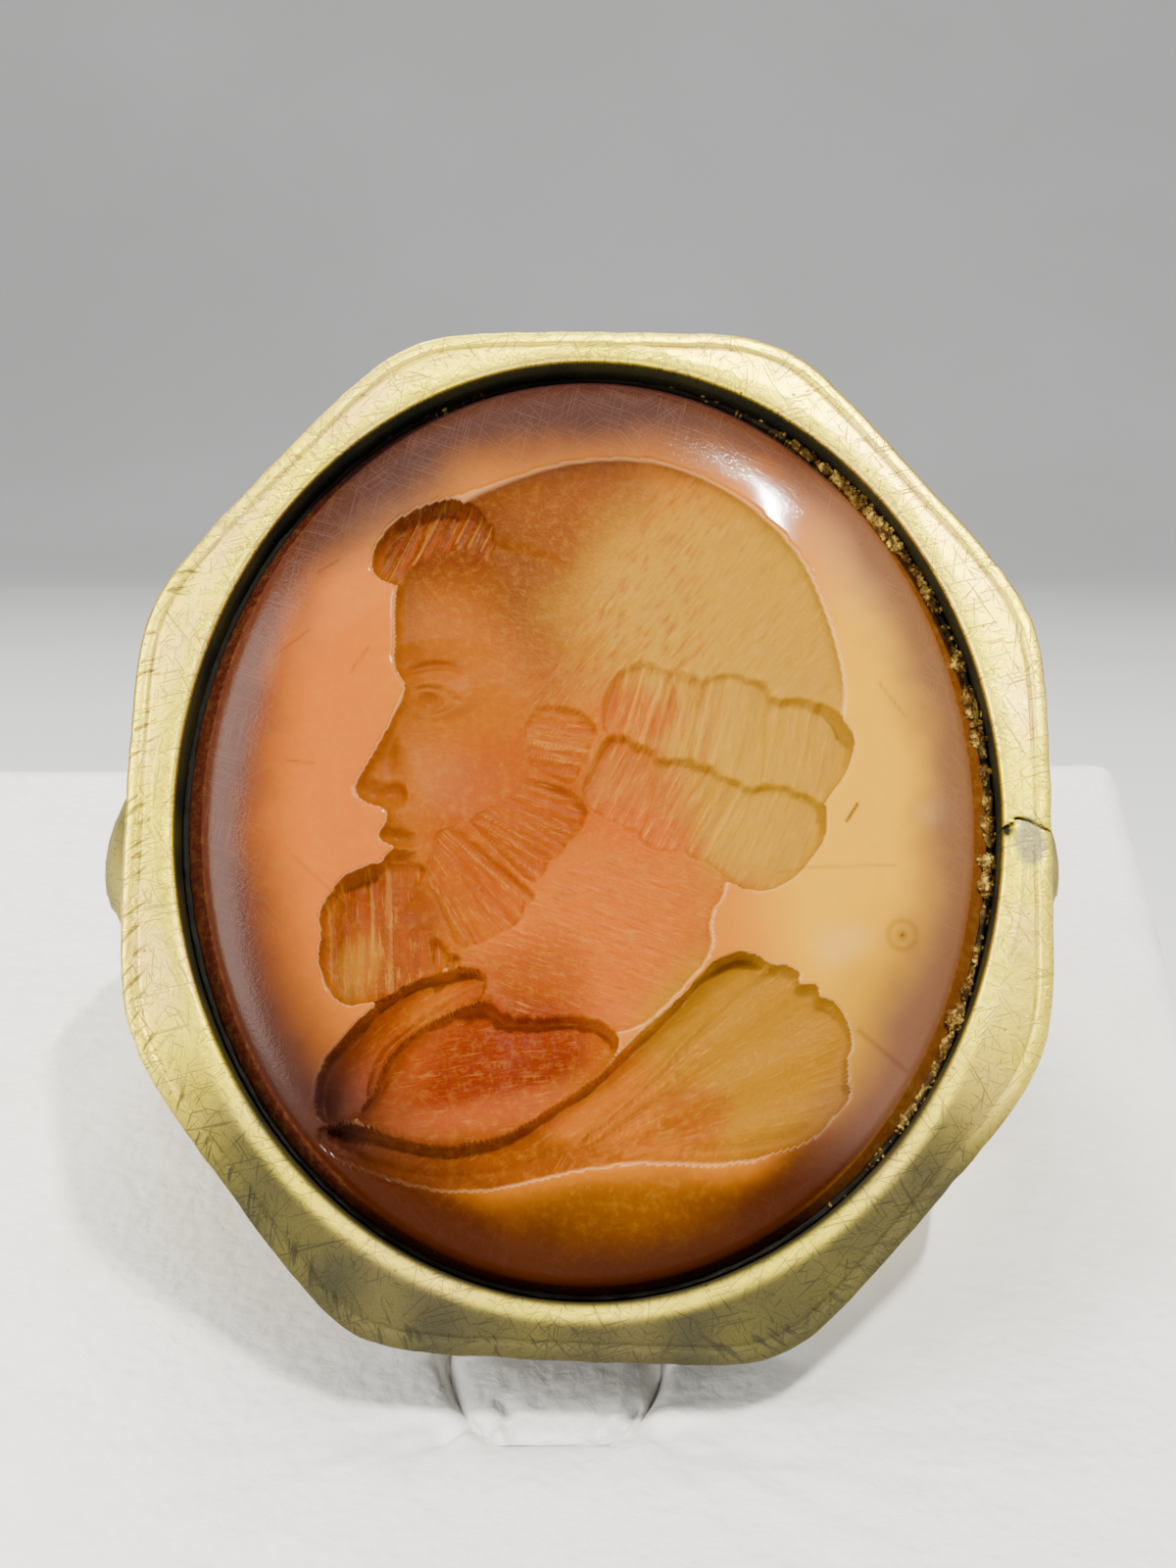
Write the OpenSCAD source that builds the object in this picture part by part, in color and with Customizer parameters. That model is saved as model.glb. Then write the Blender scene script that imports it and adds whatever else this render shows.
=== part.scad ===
// Gold ring with an oval intaglio stone in an octagonal bezel, seated on a plain slanted display stand.
// Millimetres. +Z is up, the stand's base lies on Z = 0, and the stone faces -Y and leans back.

/* [Bezel] */
// Width of the octagonal bezel, across the finger
bezel_w = 20.8; // [20.2:0.1:22]
// Height of the octagonal bezel, along the finger
bezel_h = 23.2; // [22.8:0.1:25]
// Depth of the collet from its face to its closed back
collet_t = 3.8; // [3.6:0.1:4.4]
// Width of the worn bevel round the outer edge of the face
edge_bevel = 0.2; // [0.1:0.05:0.4]
// Roundness of the eight corners: higher is sharper
corner_sharpness = 18.6; // [12:0.2:40]
// Width of the oval opening that the stone is set in
seat_w = 18.66; // [18:0.02:18.8]
// Height of the oval opening that the stone is set in
seat_h = 21.46; // [20.8:0.02:21.6]
// How far the opening sits above the middle of the bezel
seat_up = 0.3; // [0:0.05:0.4]
// Depth of the seat below the face
seat_t = 3.0; // [2.6:0.1:3.2]
// Width of the polished bevel between the face and the seat
lip_bevel = 0.25; // [0.1:0.05:0.35]

/* [Hoop] */
// Inside diameter of the hoop
finger_d = 19; // [17:0.1:20]
// Metal between the finger hole and the back of the collet
bridge_t = 0.4; // [0.3:0.1:1]
// Thickness of the hoop at its back
hoop_t = 1.5; // [1.2:0.1:2]
// Width of the hoop at its back
hoop_w = 3.4; // [2.6:0.1:4]
// Width of the shoulders where they meet the collet
shoulder_w = 10; // [7:0.5:12]
// Overall width across the shoulders
shoulder_span = 24.7; // [24:0.1:26]
// Sideways offset of the hoop under the bezel
hoop_shift = -0.15; // [-0.3:0.05:0.3]
// Crown of the hoop's outside: half the width at which it would close
hoop_crown = 7.5; // [6.5:0.1:9]
// Depth of the lens-shaped flutes cut in the shoulders
flute_depth = 0.55; // [0.3:0.05:0.8]

/* [Stone] */
// Clearance between the stone's girdle and the seat
stone_gap = 0.12; // [0.08:0.01:0.2]
// Depth of the girdle below the bezel's face
girdle_down = 1.3; // [1:0.05:1.6]
// Depth of the rim of the stone's face below the bezel's face
rim_down = 0.7; // [0.5:0.05:0.9]
// Rise of the domed face above its rim
dome_rise = 0.8; // [0.5:0.05:1]

/* [Stand] */
// Width of the stand along its back
stand_w = 41; // [38:0.5:46]
// Width of the stand along its front
stand_front_w = 34.6; // [32:0.2:40]
// Length of the slanted face, from front edge to back edge
face_len = 43.5; // [41:0.1:50]
// Slope of the face above the horizontal
face_slope = 18; // [16:1:20]
// Height of the front edge
front_h = 9; // [7.5:0.5:14]
// Radius of the stand's rounded edges
stand_r = 1.1; // [0.8:0.1:2]
// Distance from the stand's centre line to the ring's
ring_x = 1.9; // [0:0.1:2.5]
// Width of the tongue
tongue_w = 4.9; // [4:0.1:5.5]
// Width of the tongue where it leaves the face
tongue_root_w = 3.8; // [3.4:0.1:4.4]
// Thickness of the tongue
tongue_t = 1.5; // [1.2:0.1:1.5]
// Angle at which the tongue springs up from the face
tongue_rise = 2.6; // [2.6:0.1:3]

/* [Hidden] */

// The octagon's sides, anticlockwise: direction each side faces, distance from the centre in millimetres
// of a 20.8 by 23.2 bezel. The bezel is handmade, so no two are alike.
SIDES = [
    [-0.4, 10.40], [40.8, 11.18], [89.8, 11.64], [137.2, 11.07],
    [178.9, 10.41], [217.8, 11.08], [267.6, 11.62], [318.2, 11.10]
];
drawn_w = 20.8;
drawn_h = 23.2;
outline_steps = 72;
oval_steps = 96;

// Bevel round the back of the collet, and how far its sides bow in there
back_bevel = 0.5;
back_inset = 0.35;
side_bow = 0.05;

hoop_r = finger_d / 2;
hoop_z = -(collet_t + bridge_t + hoop_r);
back_z = hoop_z - hoop_r - hoop_t;
// The outside of the hoop is an egg whose widest point lies this far below the face
egg_z = -10;
egg_rz = egg_z - back_z;
// The shank runs this far round from its back each way, into the collet, and widens with this power
shank_turn = 140;
shank_steps = 40;
crown_steps = 6;
width_power = 2.6;
// Leaf-shaped flutes on the shoulders: middle, length, distance from the ridge, lean, radius of the gouge
flute_z = -8.6;
flute_len = 6.4;
flute_y = 1.2;
flute_lean = 9;
flute_r = 1.0;
flute_tip_r = 0.08;
// Metal between the finger hole and the collet's back: across, along the finger's axis, and down
bridge_w = 17.6;
bridge_len = 6.8;
bridge_down = 2.7;
bridge_overlap = 0.5;

girdle_a = seat_w / 2 - stone_gap;
girdle_b = seat_h / 2 - stone_gap;
girdle_t = 0.2;
rim_inset = 0.4;
keel_inset = 0.5;
bed_gap = 0.05;
rim_a = girdle_a - rim_inset;
rim_b = rim_a * girdle_b / girdle_a;
stone_bottom = -seat_t + bed_gap;
cement_gap = 0.03;
cement_top = -girdle_down - girdle_t - bed_gap;
// The dome is flat in the middle and rolls over at its rim
dome_power = 4;
// The engraved face is a net of this many squares each way, crowded together towards the rim
net_steps = 66;
rim_crowding = 0.7;
// Width over which a sunk area's rounded edge reaches its full depth
area_edge = 0.35;

// Angle between the stone's outward direction and the face's, and the ring's lean
bezel_rise = 18;
lean = 90 - bezel_rise;
ring_to_face = lean - face_slope;
ring_clear = 0.3;
// Height of the bezel's middle above the face when the collet's lower back edge rests on it
ring_h = (SIDES[6][1] * bezel_h / drawn_h - back_inset) * sin(ring_to_face)
    + collet_t * cos(ring_to_face) + ring_clear;
foot_s = 15;
stand_d = face_len * cos(face_slope);
foot_y = foot_s * cos(face_slope) - stand_d / 2;
foot_z = front_h + foot_s * sin(face_slope);

// The tongue and the slot, measured along the face from the point under the bezel's middle
tongue_x = -0.75;
tongue_from = -6.85;
tongue_to = 21;
tongue_gap = 0.12;
tongue_corner = 0.9;
tongue_taper = 4;
open_above = 4;
slot_from = 12;
slot_to = 21.8;
slot_w = 22.8;
slot_t = 4.8;

gold_color = [0.86, 0.74, 0.45];
stone_color = [0.80, 0.42, 0.22];
cement_color = [0.20, 0.12, 0.07];
stand_color = [0.90, 0.89, 0.86];

// Turns the ring's own frame, stone up and finger along Y, to where the ring sits on the stand
module on_ring() {
    translate([ring_x, foot_y, foot_z])
        rotate([face_slope, 0, 0])
            translate([0, 0, ring_h])
                rotate([ring_to_face, 0, 0])
                    children();
}

// The frame of the slanted face: X across, Y up the slope, Z out of it
module on_face() {
    translate([ring_x, foot_y, foot_z]) rotate([face_slope, 0, 0]) children();
}

// Gold mount

// Distance from the centre to the rounded octagon, moved in by inset, in one direction
function octagon_r(angle, inset) = pow(
    [for (s = SIDES) pow(max(0, cos(angle - s[0])) / (s[1] - inset), corner_sharpness)]
        * [for (s = SIDES) 1],
    -1 / corner_sharpness);

function octagon(inset) = [
    for (i = [0 : outline_steps - 1])
        let (angle = i * 360 / outline_steps, r = octagon_r(angle, inset))
            [r * cos(angle) * bezel_w / drawn_w, r * sin(angle) * bezel_h / drawn_h]
];

// A closed skin through rings of points, all with the same number of points
module skin(rings) {
    n = len(rings[0]);
    top = len(rings) - 1;
    polyhedron(
        points = [for (ring = rings) for (p = ring) p],
        faces = concat(
            [[for (i = [0 : n - 1]) i]],
            [for (k = [0 : top - 1]) for (i = [0 : n - 1]) let (j = (i + 1) % n)
                [k * n + j, k * n + i, (k + 1) * n + i, (k + 1) * n + j]],
            [[for (i = [n - 1 : -1 : 0]) top * n + i]]
        ));
}

// An oval with the seat's middle, from half its width and half its height
function oval(a, b) = [
    for (i = [0 : oval_steps - 1]) let (angle = i * 360 / oval_steps)
        [a * cos(angle), seat_up + b * sin(angle)]
];

// The seat's oval, grown by some distance
function seat_oval(grow) = oval(seat_w / 2 + grow, seat_h / 2 + grow);

// A closed skin through level outlines, each given as [height, points]
module loft(outlines) {
    skin([for (o = outlines) [for (p = o[1]) [p[0], p[1], o[0]]]]);
}

module collet() {
    loft([
        [-collet_t, octagon(back_inset)],
        [-collet_t + back_bevel, octagon(side_bow)],
        [-edge_bevel, octagon(0)],
        [0, octagon(edge_bevel)]
    ]);
}

module stone_seat() {
    loft([
        [-seat_t, seat_oval(0)],
        [-lip_bevel, seat_oval(0)],
        [lip_bevel, seat_oval(2 * lip_bevel)]
    ]);
}

// Half the hoop's width at a height: narrow at the back, spreading towards the collet
function hoop_half_w(z) = let (t = max(0, (z - back_z) / (egg_z + egg_rz / 2 - back_z)))
    hoop_w / 2 + (shoulder_w - hoop_w) / 2 * pow(t, width_power);

// Distance from the finger's axis to the egg, at an angle from the back and a place along the axis
function egg_r(angle, y) = let (
    below = hoop_z - egg_z,
    a = pow(2 * sin(angle) / shoulder_span, 2) + pow(cos(angle) / egg_rz, 2),
    b = -2 * below * cos(angle) / pow(egg_rz, 2),
    c = pow(below / egg_rz, 2) + pow(y / hoop_crown, 2) - 1
) (sqrt(b * b - 4 * a * c) - b) / (2 * a);

// Distance from the axis plane to the egg, at a height and a place along the axis
function egg_x(y, z) = shoulder_span / 2 * sqrt(1 - pow(y / hoop_crown, 2) - pow((z - egg_z) / egg_rz, 2));

// One section of the shank: a straight inner side and a crowned outer one, as [distance, place along axis]
function shank_section(angle) = let (w = hoop_half_w(hoop_z - egg_r(angle, 0) * cos(angle)))
    concat(
        [[hoop_r - hoop_t, -w]],
        [for (i = [-crown_steps : 2 : crown_steps]) let (y = w * i / crown_steps) [egg_r(angle, y), y]],
        [[hoop_r - hoop_t, w]]
    );

module shank() {
    sections = [
        for (i = [0 : shank_steps]) let (angle = (2 * i / shank_steps - 1) * shank_turn)
            [for (p = shank_section(angle)) [p[0] * sin(angle), p[1], hoop_z - p[0] * cos(angle)]]
    ];
    translate([hoop_shift, 0, 0]) {
        skin(sections);
        translate([-bridge_w / 2, -bridge_len / 2, -collet_t - bridge_down])
            cube([bridge_w, bridge_len, bridge_down + bridge_overlap]);
    }
}

module finger_hole() {
    translate([hoop_shift, 0, hoop_z])
        rotate([90, 0, 0])
            cylinder(h = 2 * bezel_h, r = hoop_r, center = true, $fn = 96);
}

// Two leaf-shaped gouges on each shoulder, either side of a ridge
module shoulder_flutes() {
    for (side = [-1, 1], row = [-1, 1]) translate([hoop_shift, 0, 0]) hull() {
        translate([side * (egg_x(flute_y, flute_z) + flute_r - flute_depth), row * flute_y, flute_z])
            sphere(flute_r, $fn = 24);
        for (end = [-1, 1]) let (
            y = flute_y + end * row * sin(flute_lean) * flute_len / 2,
            z = flute_z + end * flute_len / 2
        ) translate([side * egg_x(y, z), row * y, z]) sphere(flute_tip_r, $fn = 8);
    }
}

module gold_mount() {
    color(gold_color) on_ring() difference() {
        union() {
            collet();
            shank();
        }
        stone_seat();
        finger_hole();
        shoulder_flutes();
    }
}

// Stone

// Height of the dome at a fraction of the way from its middle to its rim
function dome_z(q) = -rim_down + dome_rise * sqrt(1 - pow(q, dome_power));

// Distance from a point to the stretch between two others
function off_line(p, a, b) = let (
    along = b - a, t = min(1, max(0, (p - a) * along / max(0.0001, along * along)))
) norm(p - a - t * along);

function inside(p, shape) = let (n = len(shape), hits = [
    for (i = [0 : n - 1]) let (a = shape[i], b = shape[(i + 1) % n])
        if ((a[1] > p[1]) != (b[1] > p[1])
            && p[0] < a[0] + (p[1] - a[1]) / (b[1] - a[1]) * (b[0] - a[0])) i
]) len(hits) % 2 == 1;

function edge_distance(p, shape) = let (n = len(shape))
    min([for (i = [0 : n - 1]) off_line(p, shape[i], shape[(i + 1) % n])]);

// Depth of a sunk area, given as [depth, outline], whose edge is rounded like the wheel that cut it
function area_cut(p, area) = !inside(p, area[1]) ? 0
    : area[0] * sqrt(1 - pow(1 - min(1, edge_distance(p, area[1]) / area_edge), 2));

// Depth of one pull of a round wheel, given as [from, to, width, depth]
function stroke_cut(p, stroke) = let (t = off_line(p, stroke[0], stroke[1]) / (stroke[2] / 2))
    t < 1 ? stroke[3] * sqrt(1 - t * t) : 0;

// Depth of a wide shallow sweep, given as [x, y, half-width, half-height, depth]
function sweep_cut(p, s) =
    s[4] * sqrt(max(0, 1 - pow((p[0] - s[0]) / s[2], 2) - pow((p[1] - s[1]) / s[3], 2)));

// One stroke about a middle, at an angle
function pull(x, y, length, w, depth, angle) = let (
    reach = max(0, length - w) / 2 * [cos(angle), sin(angle)]
) [[x, y] - reach, [x, y] + reach, w, depth];

// Strokes side by side, from one place to another, turning from one angle to another
function strands(row) = [
    for (i = [0 : row[4] - 1]) let (t = i / (row[4] - 1))
        pull(row[0] + (row[2] - row[0]) * t, row[1] + (row[3] - row[1]) * t, row[5], row[6], row[7],
            row[8] + (row[9] - row[8]) * t)
];

// Strokes along a curved fold through points given as [x, y, width]
function fold(depth, points) = [
    for (i = [0 : len(points) - 2]) let (a = points[i], b = points[i + 1])
        [[a[0], a[1]], [b[0], b[1]], (a[2] + b[2]) / 2, depth]
];

// An ideal head in profile: crown at 8.7, chin at -2.6, eyes halfway, brow and nose at the thirds
IDEAL_PROFILE = [
    [-2.8, 6.7], [-3.8, 5.7], [-4.2, 4.5], [-4.25, 3.7], [-4.05, 3.15], [-4.65, 2], [-5.2, 1], [-5.1, 0.65],
    [-4.45, 0.45], [-4.4, 0.1], [-4.6, -0.15], [-4.25, -0.4], [-4.5, -0.7], [-4.2, -0.95], [-4.2, -1.4],
    [-4.5, -1.8], [-4.3, -2.5], [-3.5, -2.6], [-2, -2], [0, 0], [0, 6]
];
NECK = [
    [0, 0.2], [2.5, -0.5], [3.1, -1.3], [2.7, -1.9], [2.8, -2.8], [1.1, -4.5], [-1.4, -4.3], [-2.3, -3.6],
    [-2.7, -2.6], [-1.2, -1.3]
];
CHEST = [
    [-2.3, -3.8], [-1.4, -4.3], [0.6, -4.2], [0, -5.7], [-2, -6.9], [-3.2, -7], [-5.2, -6.6], [-4.2, -4.8]
];
CLOAK = [
    [4.2, -3], [3.2, -2.8], [1.1, -4.5], [0, -5.7], [-2, -6.9], [-3.2, -7], [-6.1, -6.5], [-5.4, -7.3],
    [-4.1, -7.9], [-3.1, -8.1], [-0.7, -7.7], [1.4, -7.4], [4.1, -7.3], [5.3, -6.5], [5.9, -5.5], [5.4, -3.8]
];

// Rows of strands: from x, y, to x, y, count, length, width, depth, first angle, last angle
HAIR = [
    [-4.4, 6.6, -2.6, 6.7, 4, 2.0, 0.62, 0.6, 84, 78],
    [0.7, 2.9, 2.2, 2.8, 3, 2.1, 0.72, 1.0, 74, 76],
    [2.8, 2.6, 4.0, 2.3, 3, 2.2, 0.7, 0.95, 77, 78],
    [4.6, 2.0, 5.5, 1.8, 2, 2.1, 0.85, 0.85, 80, 80],
    [0.5, 1.3, 1.7, 0.7, 3, 2.0, 0.7, 1.0, 66, 64],
    [2.2, 0.7, 3.2, 0.1, 3, 2.0, 0.62, 0.95, 62, 62],
    [3.8, 0.0, 4.8, -0.2, 3, 2.0, 0.62, 0.85, 66, 70]
];
BEARD = [
    [-1.3, 1.1, -0.2, 1.0, 3, 1.7, 0.6, 0.95, 104, 96],
    [-2.9, -0.3, -0.8, -0.1, 5, 2.1, 0.62, 1.0, 128, 112],
    [-3.1, -1.7, -1.8, -1.4, 3, 2.2, 0.66, 0.95, 124, 118],
    [-5.5, -2.4, -3.5, -2.1, 4, 2.9, 0.72, 0.9, 96, 84]
];
// Small cuts of the calm, ideal face and the ear: x, y, length, width, depth, angle
FEATURES = [
    [-3.2, 3.85, 1.9, 0.5, 0.8, 4], [-3.35, 3.05, 1.0, 0.5, 0.75, 172], [-4.45, 2.1, 2.3, 0.6, 0.8, 62],
    [-4.6, 0.85, 0.7, 0.5, 0.85, 10], [-4.25, -0.12, 0.75, 0.3, 0.8, 175], [-4.2, -0.66, 0.65, 0.34, 0.8, 5],
    [-0.9, 2.7, 1.5, 0.35, 0.9, 82], [-0.5, 3.3, 0.9, 0.35, 0.9, 15], [-0.25, 2.6, 1.2, 0.35, 0.9, 72]
];

// Wide shallow sweeps of the skull and the jaw: x, y, half-width, half-height, depth
SWEEPS = [[0.9, 3.3, 5.05, 5.4, 0.75], [-2.3, 1.2, 1.7, 1.6, 0.8]];
// Collar, long fold across the chest, and folds that fan over the shoulder, each through x, y, width
COLLAR = [[-2.4, -3.4, 0.5], [-3.6, -3.9, 0.9], [-4.7, -4.8, 1.1], [-5.4, -5.9, 1.0]];
LONG_FOLD = [
    [3.9, -2.9, 0.7], [2.8, -3.6, 1.0], [1.6, -4.8, 1.0], [0.2, -6.2, 0.9], [-1.8, -7.2, 0.8],
    [-3.6, -7.3, 0.7], [-5.6, -6.7, 0.5]
];
FAN_FOLDS = [
    [[1.9, -5.6, 0.5], [5.1, -3.7, 1.1]],
    [[2.3, -6.1, 0.5], [5.4, -4.9, 1.1]],
    [[2.2, -6.7, 0.5], [5.1, -6.1, 1.0]]
];
fold_depth = 0.7;
fan_depth = 0.6;

AREAS = [[0.5, IDEAL_PROFILE], [0.45, NECK], [0.5, CHEST], [0.4, CLOAK]];
STROKES = concat(
    [for (row = concat(HAIR, BEARD)) each strands(row)],
    [for (cut = FEATURES) pull(cut[0], cut[1], cut[2], cut[3], cut[4], cut[5])],
    [for (points = [COLLAR, LONG_FOLD]) each fold(fold_depth, points)],
    [for (points = FAN_FOLDS) each fold(fan_depth, points)]
);

function cut_depth(p) = max(concat(
    [for (s = SWEEPS) sweep_cut(p, s)],
    [for (area = AREAS) area_cut(p, area)],
    [for (stroke = STROKES) stroke_cut(p, stroke)]
));

// A place on the net, -1 to 1 each way, laid over the oval so that its edge follows the rim
function net_point(u, v) = let (
    wide = abs(u) > abs(v),
    r = wide ? u : v,
    angle = r == 0 ? 0 : wide ? 45 * v / u : 90 - 45 * u / v,
    q = 1 - (1 - abs(r)) * (1 - rim_crowding * pow(r, 8)),
    p = sign(r) * q * [rim_a * cos(angle), rim_b * sin(angle)] + [0, seat_up]
) [p[0], p[1], dome_z(q) - (q < 1 ? cut_depth(p) : 0)];

// The net's edge points in order, as [column, row]
function net_edge() = let (n = net_steps) concat(
    [for (i = [0 : n - 1]) [i, 0]], [for (i = [0 : n - 1]) [n, i]],
    [for (i = [n : -1 : 1]) [i, n]], [for (i = [n : -1 : 1]) [0, i]]
);

// The stone below its rim: outlines that widen to the girdle and draw in to the keel
function side_ring(z, a, b) = [
    for (place = net_edge()) let (p = net_point(place[0] * 2 / net_steps - 1, place[1] * 2 / net_steps - 1))
        [p[0] * a / rim_a, (p[1] - seat_up) * b / rim_b + seat_up, z]
];

module engraved_stone() {
    n = net_steps;
    side = 4 * n;
    face_points = (n + 1) * (n + 1);
    edge = [for (place = net_edge()) place[1] * (n + 1) + place[0]];
    // Index of a point on the rim, the top and foot of the girdle, and the keel, in that order
    ring_index = function (ring, i) ring == 0 ? edge[i % side] : face_points + (ring - 1) * side + i % side;
    polyhedron(
        points = concat(
            [for (row = [0 : n]) for (col = [0 : n]) net_point(col * 2 / n - 1, row * 2 / n - 1)],
            side_ring(-girdle_down, girdle_a, girdle_b),
            side_ring(-girdle_down - girdle_t, girdle_a, girdle_b),
            side_ring(stone_bottom, girdle_a - keel_inset, girdle_b - keel_inset)
        ),
        faces = concat(
            [for (row = [0 : n - 1]) for (col = [0 : n - 1]) let (i = row * (n + 1) + col)
                each [[i, i + n + 1, i + n + 2], [i, i + n + 2, i + 1]]],
            [for (ring = [0 : 2]) for (i = [0 : side - 1]) each [
                [ring_index(ring, i), ring_index(ring, i + 1), ring_index(ring + 1, i + 1)],
                [ring_index(ring, i), ring_index(ring + 1, i + 1), ring_index(ring + 1, i)]
            ]],
            [[for (i = [0 : side - 1]) ring_index(3, i)]]
        ));
}

module intaglio_stone() {
    color(stone_color) on_ring() engraved_stone();
}

// The stone's outline at a height below its girdle, with the cement's clearance round it
function stone_room(z) = let (
    foot = -girdle_down - girdle_t,
    grow = cement_gap - keel_inset * (foot - z) / (foot - stone_bottom)
) [z, oval(girdle_a + grow, girdle_b + grow)];

module setting_cement() {
    color(cement_color) on_ring() difference() {
        loft([for (z = [stone_bottom, cement_top]) [z, seat_oval(-cement_gap)]]);
        loft([stone_room(stone_bottom - bed_gap), stone_room(cement_top + bed_gap)]);
    }
}

// Stand

// Height of the centre of an edge's ball, which lies one radius inside the slanted face
function edge_z(y) = front_h + (y + stand_d / 2) * tan(face_slope) - stand_r / cos(face_slope);

// The wedge, rounded at its edges, each corner given as [half-width, distance back]
module block_body() {
    front = [stand_front_w / 2 - stand_r, -stand_d / 2 + stand_r];
    back = [stand_w / 2 - stand_r, stand_d / 2 - stand_r];
    hull() for (side = [-1, 1], corner = [front, back], z = [stand_r, edge_z(corner[1])])
        translate([side * corner[0], corner[1], z]) sphere(stand_r, $fn = 24);
}

// Outline of the tongue on the face: pinched at its root and rounded at both ends
function tongue_outline(grow) = let (
    root = tongue_root_w / 2 + grow, wide = tongue_w / 2 + grow, r = tongue_corner,
    low = tongue_from - grow, high = tongue_to + grow
) concat(
    [for (a = [-90 : 22.5 : 0]) [root - r + r * cos(a), low + r + r * sin(a)]],
    [[wide, low + tongue_taper]],
    [for (a = [0 : 15 : 180]) [wide * cos(a), high - wide + wide * sin(a)]],
    [[-wide, low + tongue_taper]],
    [for (a = [180 : 22.5 : 270]) [-root + r + r * cos(a), low + r + r * sin(a)]]
);

// A slab under the tongue's outline, hinged at its root so that it rises from the face
module tongue_slab(grow, under, over) {
    translate([tongue_x, tongue_from, 0])
        rotate([tongue_rise, 0, 0])
            translate([0, -tongue_from, -under])
                linear_extrude(under + over)
                    polygon(tongue_outline(grow));
}

module stand_block() {
    color(stand_color) difference() {
        block_body();
        on_face() {
            tongue_slab(tongue_gap, tongue_t + tongue_gap, open_above);
            translate([hoop_shift - slot_w / 2, slot_from, -slot_t])
                cube([slot_w, slot_to - slot_from, slot_t + open_above]);
        }
    }
}

module stand_tongue() {
    color(stand_color) on_face() tongue_slab(0, tongue_t, 0);
}

gold_mount();
intaglio_stone();
setting_cement();
stand_block();
stand_tongue();
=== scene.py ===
from math import radians, degrees, sin, cos, tan, pi
import bpy
import bmesh
import numpy as np
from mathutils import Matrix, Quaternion, Vector


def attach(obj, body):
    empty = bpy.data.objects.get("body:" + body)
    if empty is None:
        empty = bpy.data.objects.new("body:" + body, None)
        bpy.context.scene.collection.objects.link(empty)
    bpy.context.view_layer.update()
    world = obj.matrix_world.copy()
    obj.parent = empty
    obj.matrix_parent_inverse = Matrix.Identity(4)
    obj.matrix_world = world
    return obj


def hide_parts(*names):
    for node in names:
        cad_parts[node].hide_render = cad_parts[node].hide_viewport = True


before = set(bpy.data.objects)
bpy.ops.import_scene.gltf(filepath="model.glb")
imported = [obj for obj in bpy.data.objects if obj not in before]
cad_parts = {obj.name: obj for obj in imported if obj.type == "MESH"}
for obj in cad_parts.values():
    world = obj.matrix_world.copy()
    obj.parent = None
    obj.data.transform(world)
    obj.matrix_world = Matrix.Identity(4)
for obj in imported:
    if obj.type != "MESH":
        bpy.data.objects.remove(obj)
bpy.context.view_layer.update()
mm = 0.001
laidUnit = 20.0  # millimetres to one unit of the flat coordinates that patterns follow
print("frame loaded:", ", ".join(sorted(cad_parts)))

# How the ring sits on its stand, in millimetres and degrees
seating = {
    "faceSlope": 18.0, "ringToFace": 54.0, "ringX": 1.9, "footUp": 15.0,
    "frontHeight": 9.0, "faceLength": 43.5, "lowHalf": 11.62, "backInset": 0.35,
    "colletDeep": 3.8, "clear": 0.3,
}


def tilted(points, angle):
    a = radians(angle)
    x, y, z = points[:, 0], points[:, 1], points[:, 2]
    return np.column_stack([x, y * cos(a) - z * sin(a), y * sin(a) + z * cos(a)])


def faceFoot():  # where the slanted face's own zero lies, in millimetres
    s = seating
    slope = radians(s["faceSlope"])
    return [s["ringX"], (s["footUp"] - s["faceLength"] / 2) * cos(slope),
            s["frontHeight"] + s["footUp"] * sin(slope)]


def ringLift():  # how far the ring's own frame stands off that face
    s = seating
    turn = radians(s["ringToFace"])
    return [0, 0, (s["lowHalf"] - s["backInset"]) * sin(turn) + s["colletDeep"] * cos(turn) + s["clear"]]


def onFace(points):  # millimetres across, up and out of the slanted face, to metres in the frame
    return (tilted(np.asarray(points, float), seating["faceSlope"]) + faceFoot()) * mm


def offFace(points):  # and back, from the frame's millimetres
    return tilted(points - faceFoot(), -seating["faceSlope"])


def onRing(points):  # millimetres in the ring's own frame, stone outwards, to metres in the frame
    return onFace(tilted(np.asarray(points, float), seating["ringToFace"]) + ringLift())


# Smooth noise from fixed seeds and soft curves, for shapes

def wander(values, pitch, seed):
    knots = np.random.default_rng(seed).uniform(-1, 1, 1024)
    t = np.asarray(values, float) / pitch + 300.0
    i = np.floor(t).astype(int)
    f = ease(t - i)
    return knots[i % 1024] * (1 - f) + knots[(i + 1) % 1024] * f


def wander2(x, y, pitch, seed):
    knots = np.random.default_rng(seed).uniform(-1, 1, (256, 256))
    tx, ty = np.asarray(x, float) / pitch + 100.0, np.asarray(y, float) / pitch + 100.0
    i, j = np.floor(tx).astype(int), np.floor(ty).astype(int)
    f, g = ease(tx - i), ease(ty - j)
    i, j, k, m = i % 256, j % 256, (i + 1) % 256, (j + 1) % 256
    return (knots[i, j] * (1 - f) + knots[k, j] * f) * (1 - g) + (knots[i, m] * (1 - f) + knots[k, m] * f) * g


def ease(t):
    t = np.clip(t, 0, 1)
    return t * t * (3 - 2 * t)


def bell(value, width):
    return np.exp(-(value / width) ** 2)


def rounding(inset, width):  # a rounded edge, from 0 at the outline to 1
    return np.sqrt(1 - (1 - np.clip(inset / width, 0, 1)) ** 2)


# Meshes

def gridFaces(rows, cols, start=0, closed=False):
    r = np.arange(rows - 1)[:, None]
    c = np.arange(cols if closed else cols - 1)[None, :]
    d = (c + 1) % cols
    quads = np.stack([start + r * cols + c, start + r * cols + d, start + (r + 1) * cols + d,
                      start + (r + 1) * cols + c], axis=-1)
    return quads.reshape(-1, 4).tolist()


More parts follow.
